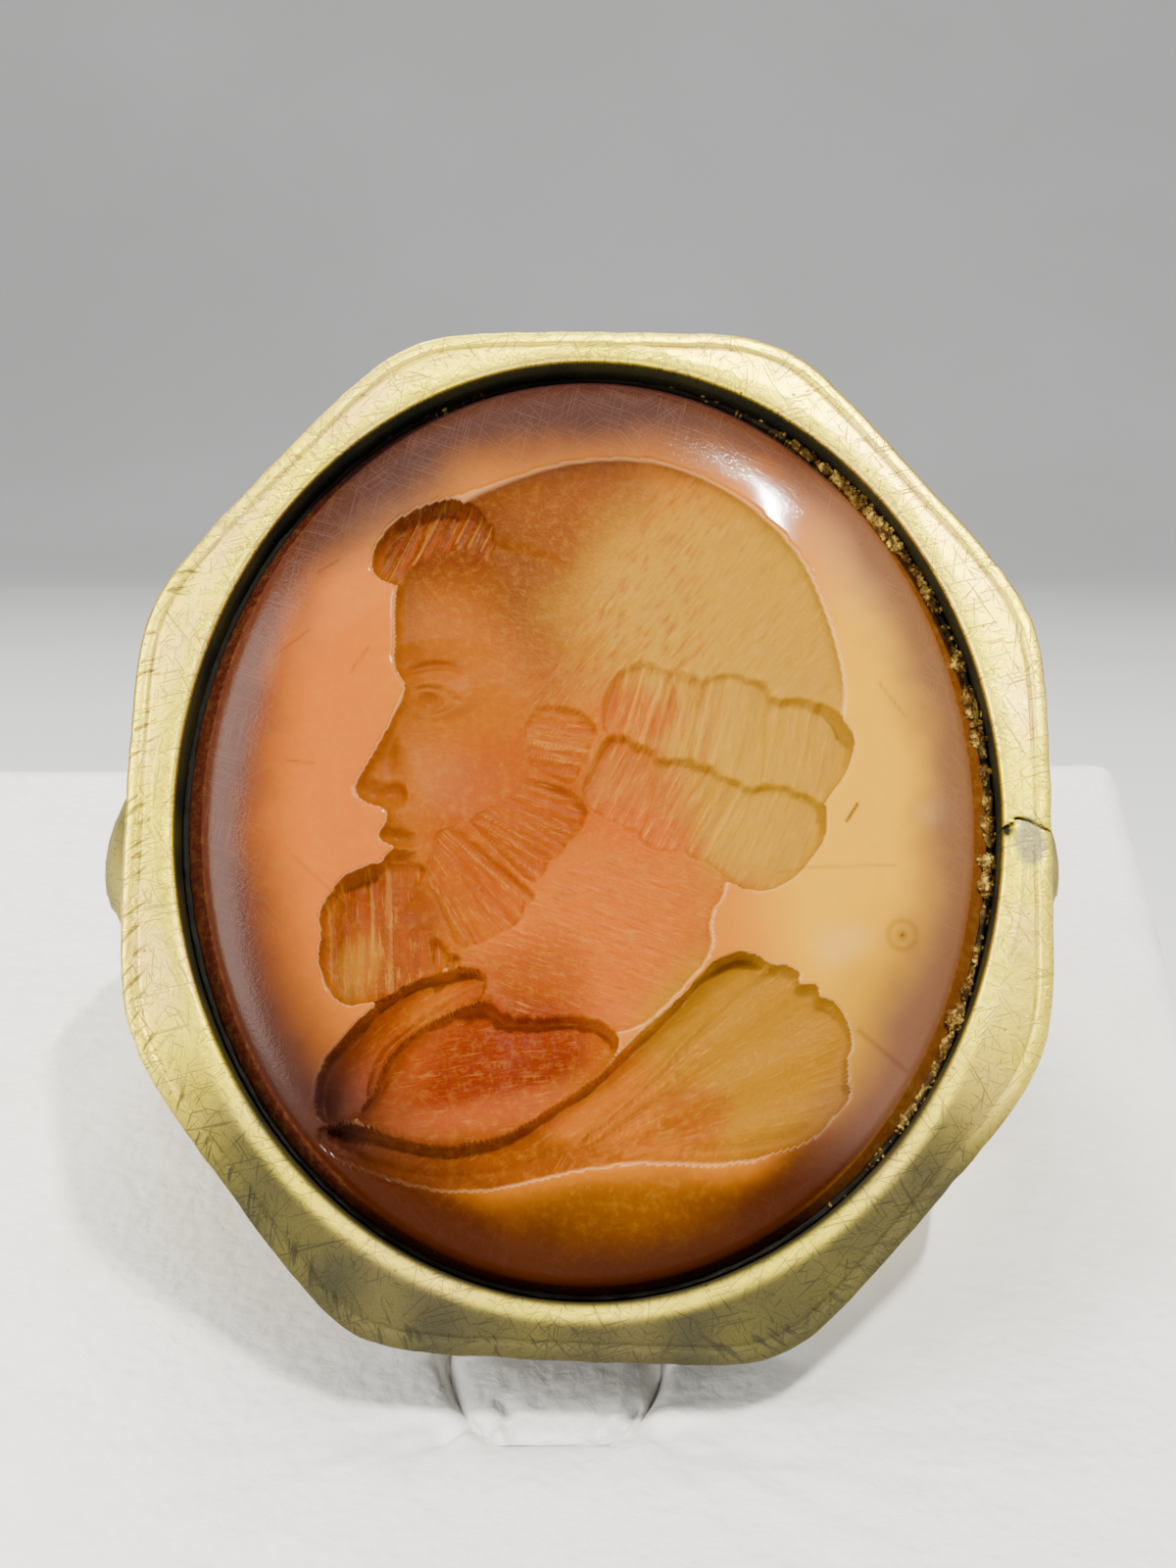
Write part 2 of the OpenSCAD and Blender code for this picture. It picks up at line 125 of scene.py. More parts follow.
def loopFaces(rows, cols):  # closed both ways
    r, c = np.arange(rows)[:, None], np.arange(cols)[None, :]
    r2, c2 = (r + 1) % rows, (c + 1) % cols
    return np.stack([r * cols + c, r2 * cols + c, r2 * cols + c2, r * cols + c2],
        axis=-1).reshape(-1, 4).tolist()


def newPiece(name, points, faces, material):
    mesh = bpy.data.meshes.new(name)
    mesh.from_pydata(np.asarray(points).tolist(), [], faces)
    piece = bpy.data.objects.new(name, mesh)
    bpy.context.scene.collection.objects.link(piece)
    mesh.materials.append(material)
    mesh.shade_smooth()
    return piece


def outward(piece, merge=0):  # merge: doubles nearer than this, in metres, become one
    work = bmesh.new()
    work.from_mesh(piece.data)
    if merge:
        bmesh.ops.remove_doubles(work, verts=work.verts, dist=merge)
    bmesh.ops.recalc_face_normals(work, faces=work.faces)
    work.to_mesh(piece.data)
    work.free()


def applyModifiers(piece):
    mesh = bpy.data.meshes.new_from_object(piece.evaluated_get(bpy.context.evaluated_depsgraph_get()))
    piece.modifiers.clear()
    piece.data = mesh


def layUv(piece, across, up):  # flat coordinates for patterns, one pair of millimetres for each vertex
    layer = piece.data.uv_layers.new(name="laid")
    corners = np.zeros(len(piece.data.loops), int)
    piece.data.loops.foreach_get("vertex_index", corners)
    pairs = np.column_stack([across[corners], up[corners]]) / laidUnit
    layer.data.foreach_set("uv", pairs.astype(np.float32).ravel())


def paint(piece, **marks):  # one number for each vertex under each name
    for name, values in marks.items():
        layer = piece.data.attributes.new(name, "FLOAT", "POINT")
        layer.data.foreach_set("value", np.asarray(values, np.float32))


# Nodes

def addNode(tree, kind, inputs, settings):  # an input is linked to another node's output or set to a value
    node = tree.nodes.new(kind)
    for key, value in settings.items():
        setattr(node, key, value)
    for key, value in inputs.items():
        if hasattr(value, "links"):
            tree.links.new(value, node.inputs[key])
        else:
            node.inputs[key].default_value = value
    return node


class Finish:  # a material and short ways to add its nodes
    def __init__(self, name):
        self.material = bpy.data.materials.new(name)
        self.material.use_nodes = True
        self.tree = self.material.node_tree
        self.shader = self.tree.nodes["Principled BSDF"]

    def add(self, kind, inputs, **settings):
        return addNode(self.tree, "ShaderNode" + kind, inputs, settings)

    def place(self, scale=(1, 1, 1)):  # the object's own coordinates
        start = self.add("TexCoord", {}).outputs["Object"]
        return self.add("Mapping", {"Vector": start, "Scale": scale}, vector_type="POINT").outputs[0]

    def laid(self):
        return self.add("UVMap", {}, uv_map="laid").outputs["UV"]

    def turned(self, vector, at, turn, size, label=""):  # a frame moved, turned and stretched
        spot = {"Vector": vector, "Location": (*at, 0), "Rotation": (0, 0, radians(turn)),
            "Scale": (*size, 1)}
        return self.add("Mapping", spot, vector_type="TEXTURE", label=label).outputs[0]

    def vector(self, kind, first, second):
        inputs = {0: first, ("Scale" if kind == "SCALE" else 1): second}
        return self.add("VectorMath", inputs, operation=kind).outputs[0]

    def bent(self, vector, pitch, much, middle=0.0):  # pushed about by a soft noise
        noise = self.add("TexNoise", {"Vector": vector, "Scale": pitch}).outputs["Color"]
        push = self.vector("SCALE", self.vector("SUBTRACT", noise, (middle,) * 3), much)
        return self.vector("ADD", vector, push)

    def flat(self, across, up):
        return self.add("CombineXYZ", {0: across, 1: up}).outputs[0]

    def noise(self, vector, scale, detail=3.0, rough=0.55, distortion=0.0):
        return self.add("TexNoise", {"Vector": vector, "Scale": scale, "Detail": detail, "Roughness": rough,
                                     "Distortion": distortion}).outputs["Fac"]

    def cells(self, vector, scale, feature="F1"):
        return self.add("TexVoronoi", {"Vector": vector, "Scale": scale}, feature=feature).outputs["Distance"]

    def ramp(self, value, low, high, toLow=0.0, toHigh=1.0):
        return self.add("MapRange", {"Value": value, "From Min": low, "From Max": high, "To Min": toLow,
                                     "To Max": toHigh}, interpolation_type="SMOOTHSTEP").outputs["Result"]

    def math(self, kind, *values):
        total = values[0]
        for value in values[1:]:
            total = self.add("Math", {0: total, 1: value}, operation=kind).outputs[0]
        return total

    def times(self, *values):
        return self.math("MULTIPLY", *values)

    def plus(self, *values):
        return self.math("ADD", *values)

    def most(self, *values):
        return self.math("MAXIMUM", *values)

    def streaks(self, laid, lots, long, step, fade):  # lots of scratches over one another
        total = 0.0
        for i, (turn, pitch, bend, share) in enumerate(lots):
            vector = self.bent(laid, 3.0 + i, bend) if bend else laid
            lay = self.turned(vector, (step[0] * i, step[1] * i), turn, (long, 1))
            total = self.most(total, self.ramp(self.noise(lay, pitch, 1.0, 0.4), share, share + fade))
        return total

    def mix(self, factor, a, b):
        node = self.add("Mix", {"Factor": factor}, data_type="RGBA")
        for value, key in ((a, "A"), (b, "B")):
            socket = [s for s in node.inputs if s.name == key and s.type == "RGBA"][0]
            if hasattr(value, "links"):
                self.tree.links.new(value, socket)
            else:
                socket.default_value = (*value, 1.0)
        return [s for s in node.outputs if s.type == "RGBA"][0]

    def over(self, colour, *layers):  # lays tints over a colour, each by its mask
        for mask, tint in layers:
            colour = self.mix(mask, colour, tint)
        return colour

    def attribute(self, name):
        return self.add("Attribute", {}, attribute_name=name).outputs["Fac"]

    def bump(self, height, strength, distance, below=None):
        inputs = {"Height": height, "Strength": strength, "Distance": distance}
        if below is not None:
            inputs["Normal"] = below
        return self.add("Bump", inputs).outputs["Normal"]

    def wear(self, **sockets):  # sets or links the shader's sockets; underscores stand for spaces
        for key, value in sockets.items():
            socket = self.shader.inputs[key.replace("_", " ")]
            if hasattr(value, "links"):
                self.tree.links.new(value, socket)
            else:
                socket.default_value = value


# Scratches: direction, pitch, how bent, how few of them show
gold = {
    "bright": (0.99, 0.80, 0.03), "warm": (0.99, 0.73, 0.15), "olive": (0.48, 0.38, 0.07),
    "shine": (1.0, 0.84, 0.006), "tick": (0.11, 0.075, 0.02), "line": (0.36, 0.26, 0.06),
    "grime": (0.022, 0.023, 0.019), "solder": (0.29, 0.26, 0.13),
    "scratches": ((14, 420, 0.02, 0.655), (47, 560, 0.03, 0.665), (83, 480, 0.03, 0.68),
                  (122, 420, 0.025, 0.66), (158, 600, 0.035, 0.67)),
    "scratchLong": 30, "scratchStep": (0.31, 0.17), "scratchFade": 0.05, "tickPitch": (6.5, 1.5),
    "tonePitch": 260.0, "patchPitch": 900.0, "finePitch": 420.0, "peenPitch": 150.0, "pitPitch": 40.0,
    "rough": (0.34, 0.46), "scratchDeep": -0.9, "pitDeep": -1.2,
}


def goldFinish():
    f, g = Finish("goldWorn"), gold
    mapped, laid = f.place(), f.laid()
    shine, grime, inset = f.attribute("shine"), f.attribute("grime"), f.attribute("inset")
    patch = f.noise(mapped, g["patchPitch"], 5.0, 0.65)
    lines = f.streaks(laid, g["scratches"], g["scratchLong"], g["scratchStep"], g["scratchFade"])
    fine = f.noise(laid, g["finePitch"], 4.0, 0.7)
    peened = f.cells(laid, g["peenPitch"], "SMOOTH_F1")
    pits = f.ramp(f.cells(laid, g["pitPitch"]), 0.03, 0.10, 1.0, 0.0)
    # short ticks slant across the outer edge
    slant, (often, long) = f.plus(f.attribute("round"), f.times(inset, 0.7)), g["tickPitch"]
    ticks = f.ramp(f.noise(f.flat(f.times(slant, often), f.times(inset, long)), 1.0, 2.0, 0.5), 0.57, 0.65)
    ticks = f.times(ticks, f.attribute("ticked"))
    # the gold's own tones, scratches, ticks and solder, with painted highlights on the lip and bead and
    # painted shade in the seat's wall, the bead's groove, the shoulders and towards the bottom
    colour = f.over(g["bright"], (f.ramp(f.noise(mapped, g["tonePitch"]), 0.38, 0.66), g["warm"]),
                    (f.ramp(patch, 0.56, 0.78, 0.0, 0.45), g["olive"]), (f.times(shine, 0.85), g["shine"]),
                    (f.times(f.most(lines, pits), 0.75), g["line"]), (f.times(ticks, 0.8), g["tick"]),
                    (grime, g["grime"]), (f.attribute("solder"), g["solder"]))
    lines = f.most(lines, ticks)
    height = f.plus(f.times(lines, g["scratchDeep"]), f.times(fine, 0.35), f.times(peened, 0.15),
                    f.times(pits, g["pitDeep"]))
    rough = f.plus(f.ramp(fine, 0.35, 0.7, *g["rough"]), f.times(lines, 0.08), f.times(shine, -0.08),
                   f.times(grime, 0.35))
    f.wear(Base_Color=colour, Metallic=1.0, Roughness=rough,
           Normal=f.bump(height, 0.6, 0.00003, f.bump(patch, 0.3, 0.00008)))
    return f.material


# The octagonal bezel: direction of each side in degrees and its distance in millimetres
bezel = {
    "sides": ((-0.4, 10.44), (40.8, 11.20), (89.8, 11.76), (137.2, 11.16),
              (178.9, 10.42), (217.8, 11.15), (267.6, 11.66), (318.2, 11.20)),
    "sharpness": 21.5, "seatHalfW": 9.33, "seatHalfH": 10.73, "seatUp": 0.3, "seatDeep": 3.0,
    "lip": 0.12, "strip": 0.30, "stripDrop": 0.02, "bead": 0.44, "edgeRound": 0.14, "deep": 3.8,
    "backBevel": 0.45, "around": 600, "fall": (0.08, 0.04), "groove": 0.020,
    "crackHalfWidth": 0.028, "crackDeep": 0.14, "crackFrom": 9.3,
    # the old repair's hairline over the band on the right, across and up
    "crackX": (9.3, 9.52, 9.66, 9.9, 10.15, 10.45), "crackY": (0.02, 0.10, 0.28, 0.23, 0.11, -0.06),
}


def octagonRadius(angle):
    total = np.zeros_like(angle)
    for facing, distance in bezel["sides"]:
        total += (np.maximum(0, np.cos(angle - radians(facing))) / distance) ** bezel["sharpness"]
    return total ** (-1 / bezel["sharpness"])


def crackLine(x):
    return np.interp(x, bezel["crackX"], bezel["crackY"]) + 0.03 * wander(x, 0.12, 13)


def seatRadius(angle):  # the seat is an oval centred a little high
    b = bezel
    ux, uy, px, py = np.cos(angle), np.sin(angle), b["seatHalfW"], b["seatHalfH"]
    qa = (ux / px) ** 2 + (uy / py) ** 2
    qb = -2 * uy * b["seatUp"] / py ** 2
    qc = (b["seatUp"] / py) ** 2 - 1
    return (-qb + np.sqrt(qb * qb - 4 * qa * qc)) / (2 * qa)


def makeBezel():
    b = bezel
    nearCrack = np.linspace(-0.035, 0.05, 90)
    angle = np.unique(np.concatenate([np.linspace(-pi, pi, b["around"], endpoint=False), nearCrack]))
    turn = degrees(1) * angle
    outer = octagonRadius(angle) + 0.02 * wander(turn, 5, 11) + 0.012 * wander(turn, 1.7, 12)
    ux, uy = np.cos(angle), np.sin(angle)
    seat = seatRadius(angle)
    rows = []

    def row(radius, z):
        rows.append(np.column_stack([ux * radius, uy * radius, np.broadcast_to(z, radius.shape)]))

    # the floor of the seat, its wall, the lip and the thin inner strip
    for part in (0.35, 0.7, 0.93):
        row(seat * part, -b["seatDeep"])
    foot = -b["stripDrop"] - b["lip"]
    for z in (-b["seatDeep"], -2.2, -1.4, -0.8, -0.45, foot - 0.06):
        row(seat, z)
    for t in np.linspace(0, 1, 5) * pi / 2:
        row(seat + b["lip"] * (1 - cos(t)), foot + b["lip"] * sin(t))
    strip = b["strip"] * (1 + 0.25 * wander(turn, 6, 15))
    for t in (0.3, 0.6, 0.85, 1.0):
        row(seat + b["lip"] + strip * t, -b["stripDrop"] * (1 - t) ** 1.3)
    start = seat + b["lip"] + strip
    band = np.maximum(0.03, outer - b["bead"] - start)
    slope, bow = b["fall"]
    for t in np.linspace(0.06, 1, 16):
        uneven = 0.010 * wander2(ux * (start + band * t), uy * (start + band * t), 1.7, 21)
        row(start + band * t, -slope * band * t - bow * (band * t) ** 2 + uneven * ease(t / 0.2))
    # a fine groove and a bead round the edge
    low = -slope * band - bow * band ** 2
    groove = b["groove"] * (1 + 0.5 * wander(turn, 7, 16))
    for inset, rise in ((0.41, -1.0), (0.37, -0.9), (0.33, 0.9), (0.27, 1.4), (0.19, 1.2)):
        row(outer - inset, low + groove * rise)
    for t in np.linspace(0.15, 1, 7) * pi / 2:
        row(outer - b["edgeRound"] * (1 - sin(t)), low + 0.8 * groove - 0.16 * (1 - cos(t)))
    # the side and the back
    for z in np.linspace(-0.75, -b["deep"] + b["backBevel"], 9):
        row(outer + 0.03 * wander2(angle * 10, z + 0 * angle, 2.0, 14) - 0.05 * (z / b["deep"]) ** 2, z)
    for t in np.linspace(0.25, 1, 4) * pi / 2:
        row(outer - 0.06 - b["backBevel"] * (1 - cos(t)), -b["deep"] + b["backBevel"] * (1 - sin(t)))
    for part in (0.85, 0.5, 0.2):
        row(outer * part, -b["deep"])
    points = np.concatenate(rows)
    cols = len(angle)
    # the crack, cut where the face and its side pass the line
    x, y, z = points.T
    cut = (x > b["crackFrom"]) * (z > -2.5) * bell(y - crackLine(x), b["crackHalfWidth"])
    points[:, 2] -= (z > -0.6) * b["crackDeep"] * cut
    points[:, 0] -= (z < -0.1) * (x > 10) * 0.10 * cut
    faces = gridFaces(len(rows), cols, 0, True)
    low, high = len(points), len(points) + 1
    points = np.vstack([points, [[0, b["seatUp"], -b["seatDeep"]], [0, 0, -b["deep"]]]])
    last = (len(rows) - 1) * cols
    faces += [[low, (i + 1) % cols, i] for i in range(cols)]
    faces += [[high, last + i, last + (i + 1) % cols] for i in range(cols)]
    return points, faces


# The hoop: an egg outside and a round hole inside, wide at the shoulders and narrow at the back
hoop = {
    "bore": 9.5, "thick": 1.5, "backWidth": 3.4, "shoulderWidth": 10.0, "span": 24.6, "crown": 6.6,
    "eggDown": -10.0, "shift": -0.15, "bridge": 0.4, "widen": 2.6, "widest": 5.4,
    "turns": 300, "acrossSteps": 30,
    # how high its ends reach inside the collet: at the shoulders and in the middle
    "ceilings": (-1.9, -3.55), "endAngle": 40,
    "fluteDown": -8.6, "fluteHalf": 3.4, "fluteApart": 1.25, "fluteLean": 9.0, "fluteDeep": 0.6,
    "fluteWide": 0.95,
}


def makeHoop():
    h = hoop
    axisZ = -(bezel["deep"] + h["bridge"] + h["bore"])
    backZ = axisZ - h["bore"] - h["thick"]
    eggUp = h["eggDown"] - backZ
    angle = np.linspace(-pi, pi, h["turns"], endpoint=False)[:, None]
    down = np.cos(angle)
    t = np.linspace(-1, 1, h["acrossSteps"])[None, :]

    def eggRadius(y):
        below = axisZ - h["eggDown"]
        a = (2 * np.sin(angle) / h["span"]) ** 2 + (down / eggUp) ** 2
        b = -2 * below * down / eggUp ** 2
        c = (below / eggUp) ** 2 + (y / h["crown"]) ** 2 - 1
        return (np.sqrt(np.maximum(0, b * b - 4 * a * c)) - b) / (2 * a)

    height = axisZ - eggRadius(0 * angle) * down
    reach = np.maximum(0, (height - backZ) / (h["eggDown"] + eggUp / 2 - backZ))
    half = h["backWidth"] / 2 + (h["shoulderWidth"] - h["backWidth"]) / 2 * reach ** h["widen"]
    y = np.minimum(half, h["widest"]) * np.sin(t * pi / 2)
    outer = eggRadius(y)
    ceiling = np.where(np.abs(np.abs(angle) - pi) > radians(h["endAngle"]), *h["ceilings"])
    cap = (ceiling - axisZ) / np.maximum(0.05, -down)
    outer = np.where(down < -0.05, np.minimum(outer, cap), outer)
    flute = np.zeros_like(outer)
    z = axisZ - outer * down
    for side in (-1, 1):
        lean = tan(radians(h["fluteLean"])) * side
        along = (z - h["fluteDown"]) / h["fluteHalf"]
        middle = side * h["fluteApart"] + lean * (z - h["fluteDown"])
        taper = np.sqrt(1 - np.clip(along ** 2, 0, 1))
        inside = 1 - np.abs(y - middle) / np.maximum(0.05, h["fluteWide"] * taper)
        flute = np.maximum(flute, np.where(np.abs(along) < 1, np.sqrt(np.clip(inside, 0, 1)) * taper, 0))
    outer = outer - h["fluteDeep"] * flute
    # the outer crown falls into rounded long edges, and the bore is eased
    bore = h["bore"] + 0.22 * np.abs(t) ** 6 + 0 * angle
    mid = (outer + bore) / 2
    outer = mid + (outer - mid) * (0.35 + 0.65 * (1 - np.abs(t) ** 7) ** 0.5)
    outer = outer + 0.02 * wander2(angle * 9 + 0 * t, y, 1.6, 31) * (down > -0.6)
    rings = [np.stack([radius * np.sin(angle) + h["shift"], yy, axisZ - radius * down], axis=-1)
             for radius, yy in ((outer, y), (bore[:, ::-1], y[:, ::-1]))]
    loop = np.concatenate(rings, axis=1)
    return loop.reshape(-1, 3), loopFaces(*loop.shape[:2])


def makeMount():
    finish = goldFinish()
    points, faces = makeBezel()
    piece = newPiece("mountGold", onRing(points), faces, finish)
    outward(piece)
    points, faces = makeHoop()
    shank = newPiece("mountHoop", onRing(points), faces, finish)
    outward(shank)
    join = piece.modifiers.new("join", "BOOLEAN")
    join.operation, join.solver, join.object = "UNION", "EXACT", shank
    applyModifiers(piece)
    bpy.data.objects.remove(shank)
    # marks in the ring's own millimetres: painted shade and some dirt first, then the crack and its solder
    places = np.zeros(len(piece.data.vertices) * 3)
    piece.data.vertices.foreach_get("co", places)
    x, y, z = tilted(offFace(places.reshape(-1, 3) / mm) - ringLift(), -seating["ringToFace"]).T
    angle, radius = np.arctan2(y, x), np.hypot(x, y)
    outer, seat = octagonRadius(angle), seatRadius(angle)
    face = z > -1
    low = ease((-np.sin(angle) - 0.1) / 0.8)
    # painted shadow: the seat's wall below the lip goes near black, as the gap beside the stone lies in shade
    inWall = (radius < seat + 0.06) * (z > -3.2)
    wall = ease((-0.13 - z) / 0.08) * inWall * (0.97 + 0.03 * wander2(x, y, 0.8, 36))
    # painted shade: the outer edge and sides darker towards the bottom
    edge = ease((radius - outer + 0.10) / 0.12) * low * 0.8 * (z > -3.9)
    # painted highlights along the inner lip and the outer bead, weaker towards the bottom; the same mark
    # makes them a little smoother
    shine = bell(radius - seat - 0.24, 0.17) + 0.8 * bell(outer - radius - 0.22, 0.09)
    behind = ease((z + 3.9) / -0.3) * 0.12
    # painted shade: the face and sides darker towards the bottom, less so on the inner lip
    bottomShade = ease((-np.sin(angle) - 0.32) / 0.42) * (0.955 + 0.03 * wander2(x, y, 1.1, 35))
    bottomShade = bottomShade * (1 - 0.9 * bell(radius - seat - 0.24, 0.15)) * (z > -3.9)
    # painted shade on the hoop's shoulders beside and below the bezel
    shoulderShade = (ease((np.abs(x) - 9.0) / 0.5) * ease((-z - 1.6) / 0.4) * ease((z + 9) / 3)
                * (radius > seat + 0.3))
    shoulderShade = shoulderShade * (0.68 + 0.2 * wander2(y, z, 0.8, 37))
    # painted shade: a thin dark line in the groove inside the bead
    grooveShade = 0.7 * bell(outer - radius - 0.385, 0.035) * face * (0.75 + 0.25 * wander(angle * 11, 0.8, 38))
    crack = 1.3 * (x > bezel["crackFrom"]) * (z > -2.5) * bell(y - crackLine(x), 0.04)
    crackHead = 1.5 * bell(np.hypot((x - 9.43) / 0.13, (y + 0.02) / 0.16), 1) * face
    grime = np.max([wall, edge, behind, bottomShade, shoulderShade, grooveShade, crack, crackHead], axis=0)
    wobble = 0.10 * wander2(x, y, 0.35, 39) + 0.05 * wander2(x, y, 0.15, 40)
    pad = ease((1 - np.hypot((x - 9.94) / 0.42, (y + 0.30) / 0.66) + wobble) / 0.22) * face
    leftLow = ease((-np.cos(angle - radians(35)) + 0.3) / 0.6)
    ticked = face * bell(outer - radius - 0.30, 0.42) * (0.12 + 0.88 * leftLow)
    # the solder pad, and a tenth of its dull tone over the lower face as painted shade towards the bottom
    paint(piece, shine=np.clip(shine * (z > -0.5), 0, 1) * (1 - 0.5 * low), grime=np.clip(grime, 0, 1),
          solder=np.clip(0.95 * pad + 0.10 * face * low, 0, 1), round=angle * 10.8,
          inset=np.clip(outer - radius, 0, 3), ticked=ticked)
    # flat on the face, and the way round and along elsewhere
    front = z > -0.5
    about = np.arctan2(x, -13.7 - z) * 12.0
    layUv(piece, np.where(front, x, about), np.where(front, y, y + 40))
    piece.data.shade_smooth()
    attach(piece, "root")
    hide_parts("gold_mount")
    print("mount:", len(piece.data.polygons), "faces")


# The carved stone
stone = {
    "girdleHalfW": 9.21, "girdleHalfH": 10.61, "rimInset": 0.4, "up": 0.3, "rimDown": 0.7, "rise": 0.8,
    "girdleDown": 1.3, "girdleTall": 0.2, "keelInset": 0.5, "bottom": -2.95, "net": 300, "rimInsetUp": 0.2,
}

# Sunk areas of the dress and neck. Each has its outline, its depth at the deep end and at the shallow end,
# the width of its rounded edge, the way from shallow to deep in degrees or the point that its strokes fan
# out from, the pitch and height of those strokes, and its grain. Some have bands or broad furrows, a ragged
# edge, or fine lines that run sideways or show more or less
dress = {
    "bust": dict(outline=((-6.1, -6.6), (-5.9, -7.1), (-5.2, -7.45), (-4.1, -7.85), (-3.1, -8.05),
        (-2.0, -8.0), (-0.9, -7.75), (0.2, -7.5), (1.4, -7.4), (2.8, -7.5), (4.2, -7.25), (5.3, -6.4),
        (5.5, -5.4), (5.0, -3.8), (4.1, -2.9), (3.2, -2.8), (1.1, -4.5), (0.0, -5.7), (-2.0, -6.9),
        (-3.2, -7.0), (-5.2, -6.5)), deep=0.36, shallow=0.26, edge=0.45, toward=60, strokes=(0.24, 0.014),
        grain=0.012),
    "neck": dict(outline=((-2.2, -1.2), (-1.0, 0.2), (0.6, 0.6), (2.6, 0.2), (3.2, -0.9), (3.05, -1.5),
        (2.72, -2.0), (2.8, -2.8), (2.2, -3.5), (1.1, -4.6), (-0.2, -4.6), (-1.8, -4.5), (-2.7, -3.6),
        (-3.3, -2.6)), deep=0.46, shallow=0.36, edge=0.7, toward=160, strokes=(0.3, 0.006), grain=0.006,
        bands=(0.12, 0.006), lined=0.75),
    "fan": dict(outline=((0.6, -6.4), (1.6, -5.4), (2.6, -4.3), (4.0, -3.0), (4.9, -3.4), (5.5, -3.9),
        (5.75, -4.5), (5.9, -5.3), (5.65, -6.2), (5.0, -6.9), (4.1, -7.25), (2.8, -7.4), (1.4, -7.3),
        (0.4, -7.4), (-0.4, -7.0)), deep=0.46, shallow=0.40, edge=0.30, fan=(-0.9, -7.7),
        strokes=(0.115, 0.016), grain=0.008, broad=(1.02, 0.10, 0.28), ragged=0.14),
    "longFold": dict(outline=((-6.0, -6.65), (-5.2, -6.5), (-4.2, -6.9), (-3.4, -7.1), (-2.5, -7.0),
        (-1.7, -6.8), (-0.6, -6.1), (0.3, -5.5), (0.9, -4.9), (1.9, -4.0), (2.6, -3.1), (3.2, -2.75),
        (3.7, -2.75), (4.05, -3.05), (3.4, -3.65), (2.4, -4.45), (1.6, -5.4), (0.7, -6.2), (-0.3, -7.0),
        (-1.4, -7.5), (-2.8, -7.75), (-4.2, -7.6), (-5.3, -7.2)), deep=0.80, shallow=0.34, edge=0.13,
        toward=126, strokes=(0.34, 0.002), grain=0.003, sideways=True),
    "chest": dict(outline=((-2.3, -3.8), (-1.9, -4.15), (-1.3, -4.25), (0.0, -4.15), (0.6, -4.5),
        (0.75, -4.9), (0.0, -5.75), (-0.9, -6.35), (-1.8, -6.85), (-2.8, -7.05), (-3.7, -6.95), (-4.6, -6.7),
        (-5.2, -6.45), (-4.8, -5.9), (-4.5, -5.2), (-4.2, -4.75), (-3.4, -4.2)), deep=0.92, shallow=0.26,
        edge=0.14, toward=98, strokes=(0.5, 0.004), grain=0.010, bands=(0.2, 0.014), sideways=True),
    "collar": dict(outline=((-2.5, -3.05), (-2.15, -3.3), (-2.3, -3.75), (-2.8, -4.0), (-3.4, -4.3),
        (-4.2, -4.8), (-4.5, -5.2), (-4.75, -6.0), (-5.1, -6.5), (-5.9, -6.6), (-6.1, -6.0), (-5.9, -5.2),
        (-5.55, -4.75), (-4.9, -4.1), (-4.4, -3.65), (-3.7, -3.3)), deep=0.95, shallow=0.42, edge=0.12,
        toward=128, strokes=(0.34, 0.004), grain=0.004, sideways=True),
    "collarEdge": dict(outline=((-2.2, -3.3), (-2.3, -3.75), (-2.8, -4.0), (-3.4, -4.3), (-4.2, -4.8),
        (-4.5, -5.2), (-4.75, -6.0), (-5.0, -6.1), (-4.95, -5.4), (-4.5, -4.7), (-3.6, -4.05), (-2.9, -3.6)),
        deep=0.72, shallow=0.60, edge=0.10, toward=128, strokes=(0.34, 0.006), grain=0.004, sideways=True),
}


# Locks of hair and beard: each is a tilted cut, scalloped and deep at the end where its strands begin
def lock(deep, shallow, pitch, height, outline, toward=None, fan=None, lobe=0.62):
    return dict(outline=outline, deep=deep * 0.80, shallow=shallow * 0.92, edge=0.24, toward=toward, fan=fan,
                strokes=(pitch, height), grain=0.004, lobe=(lobe, 0.13), lined=1.0)


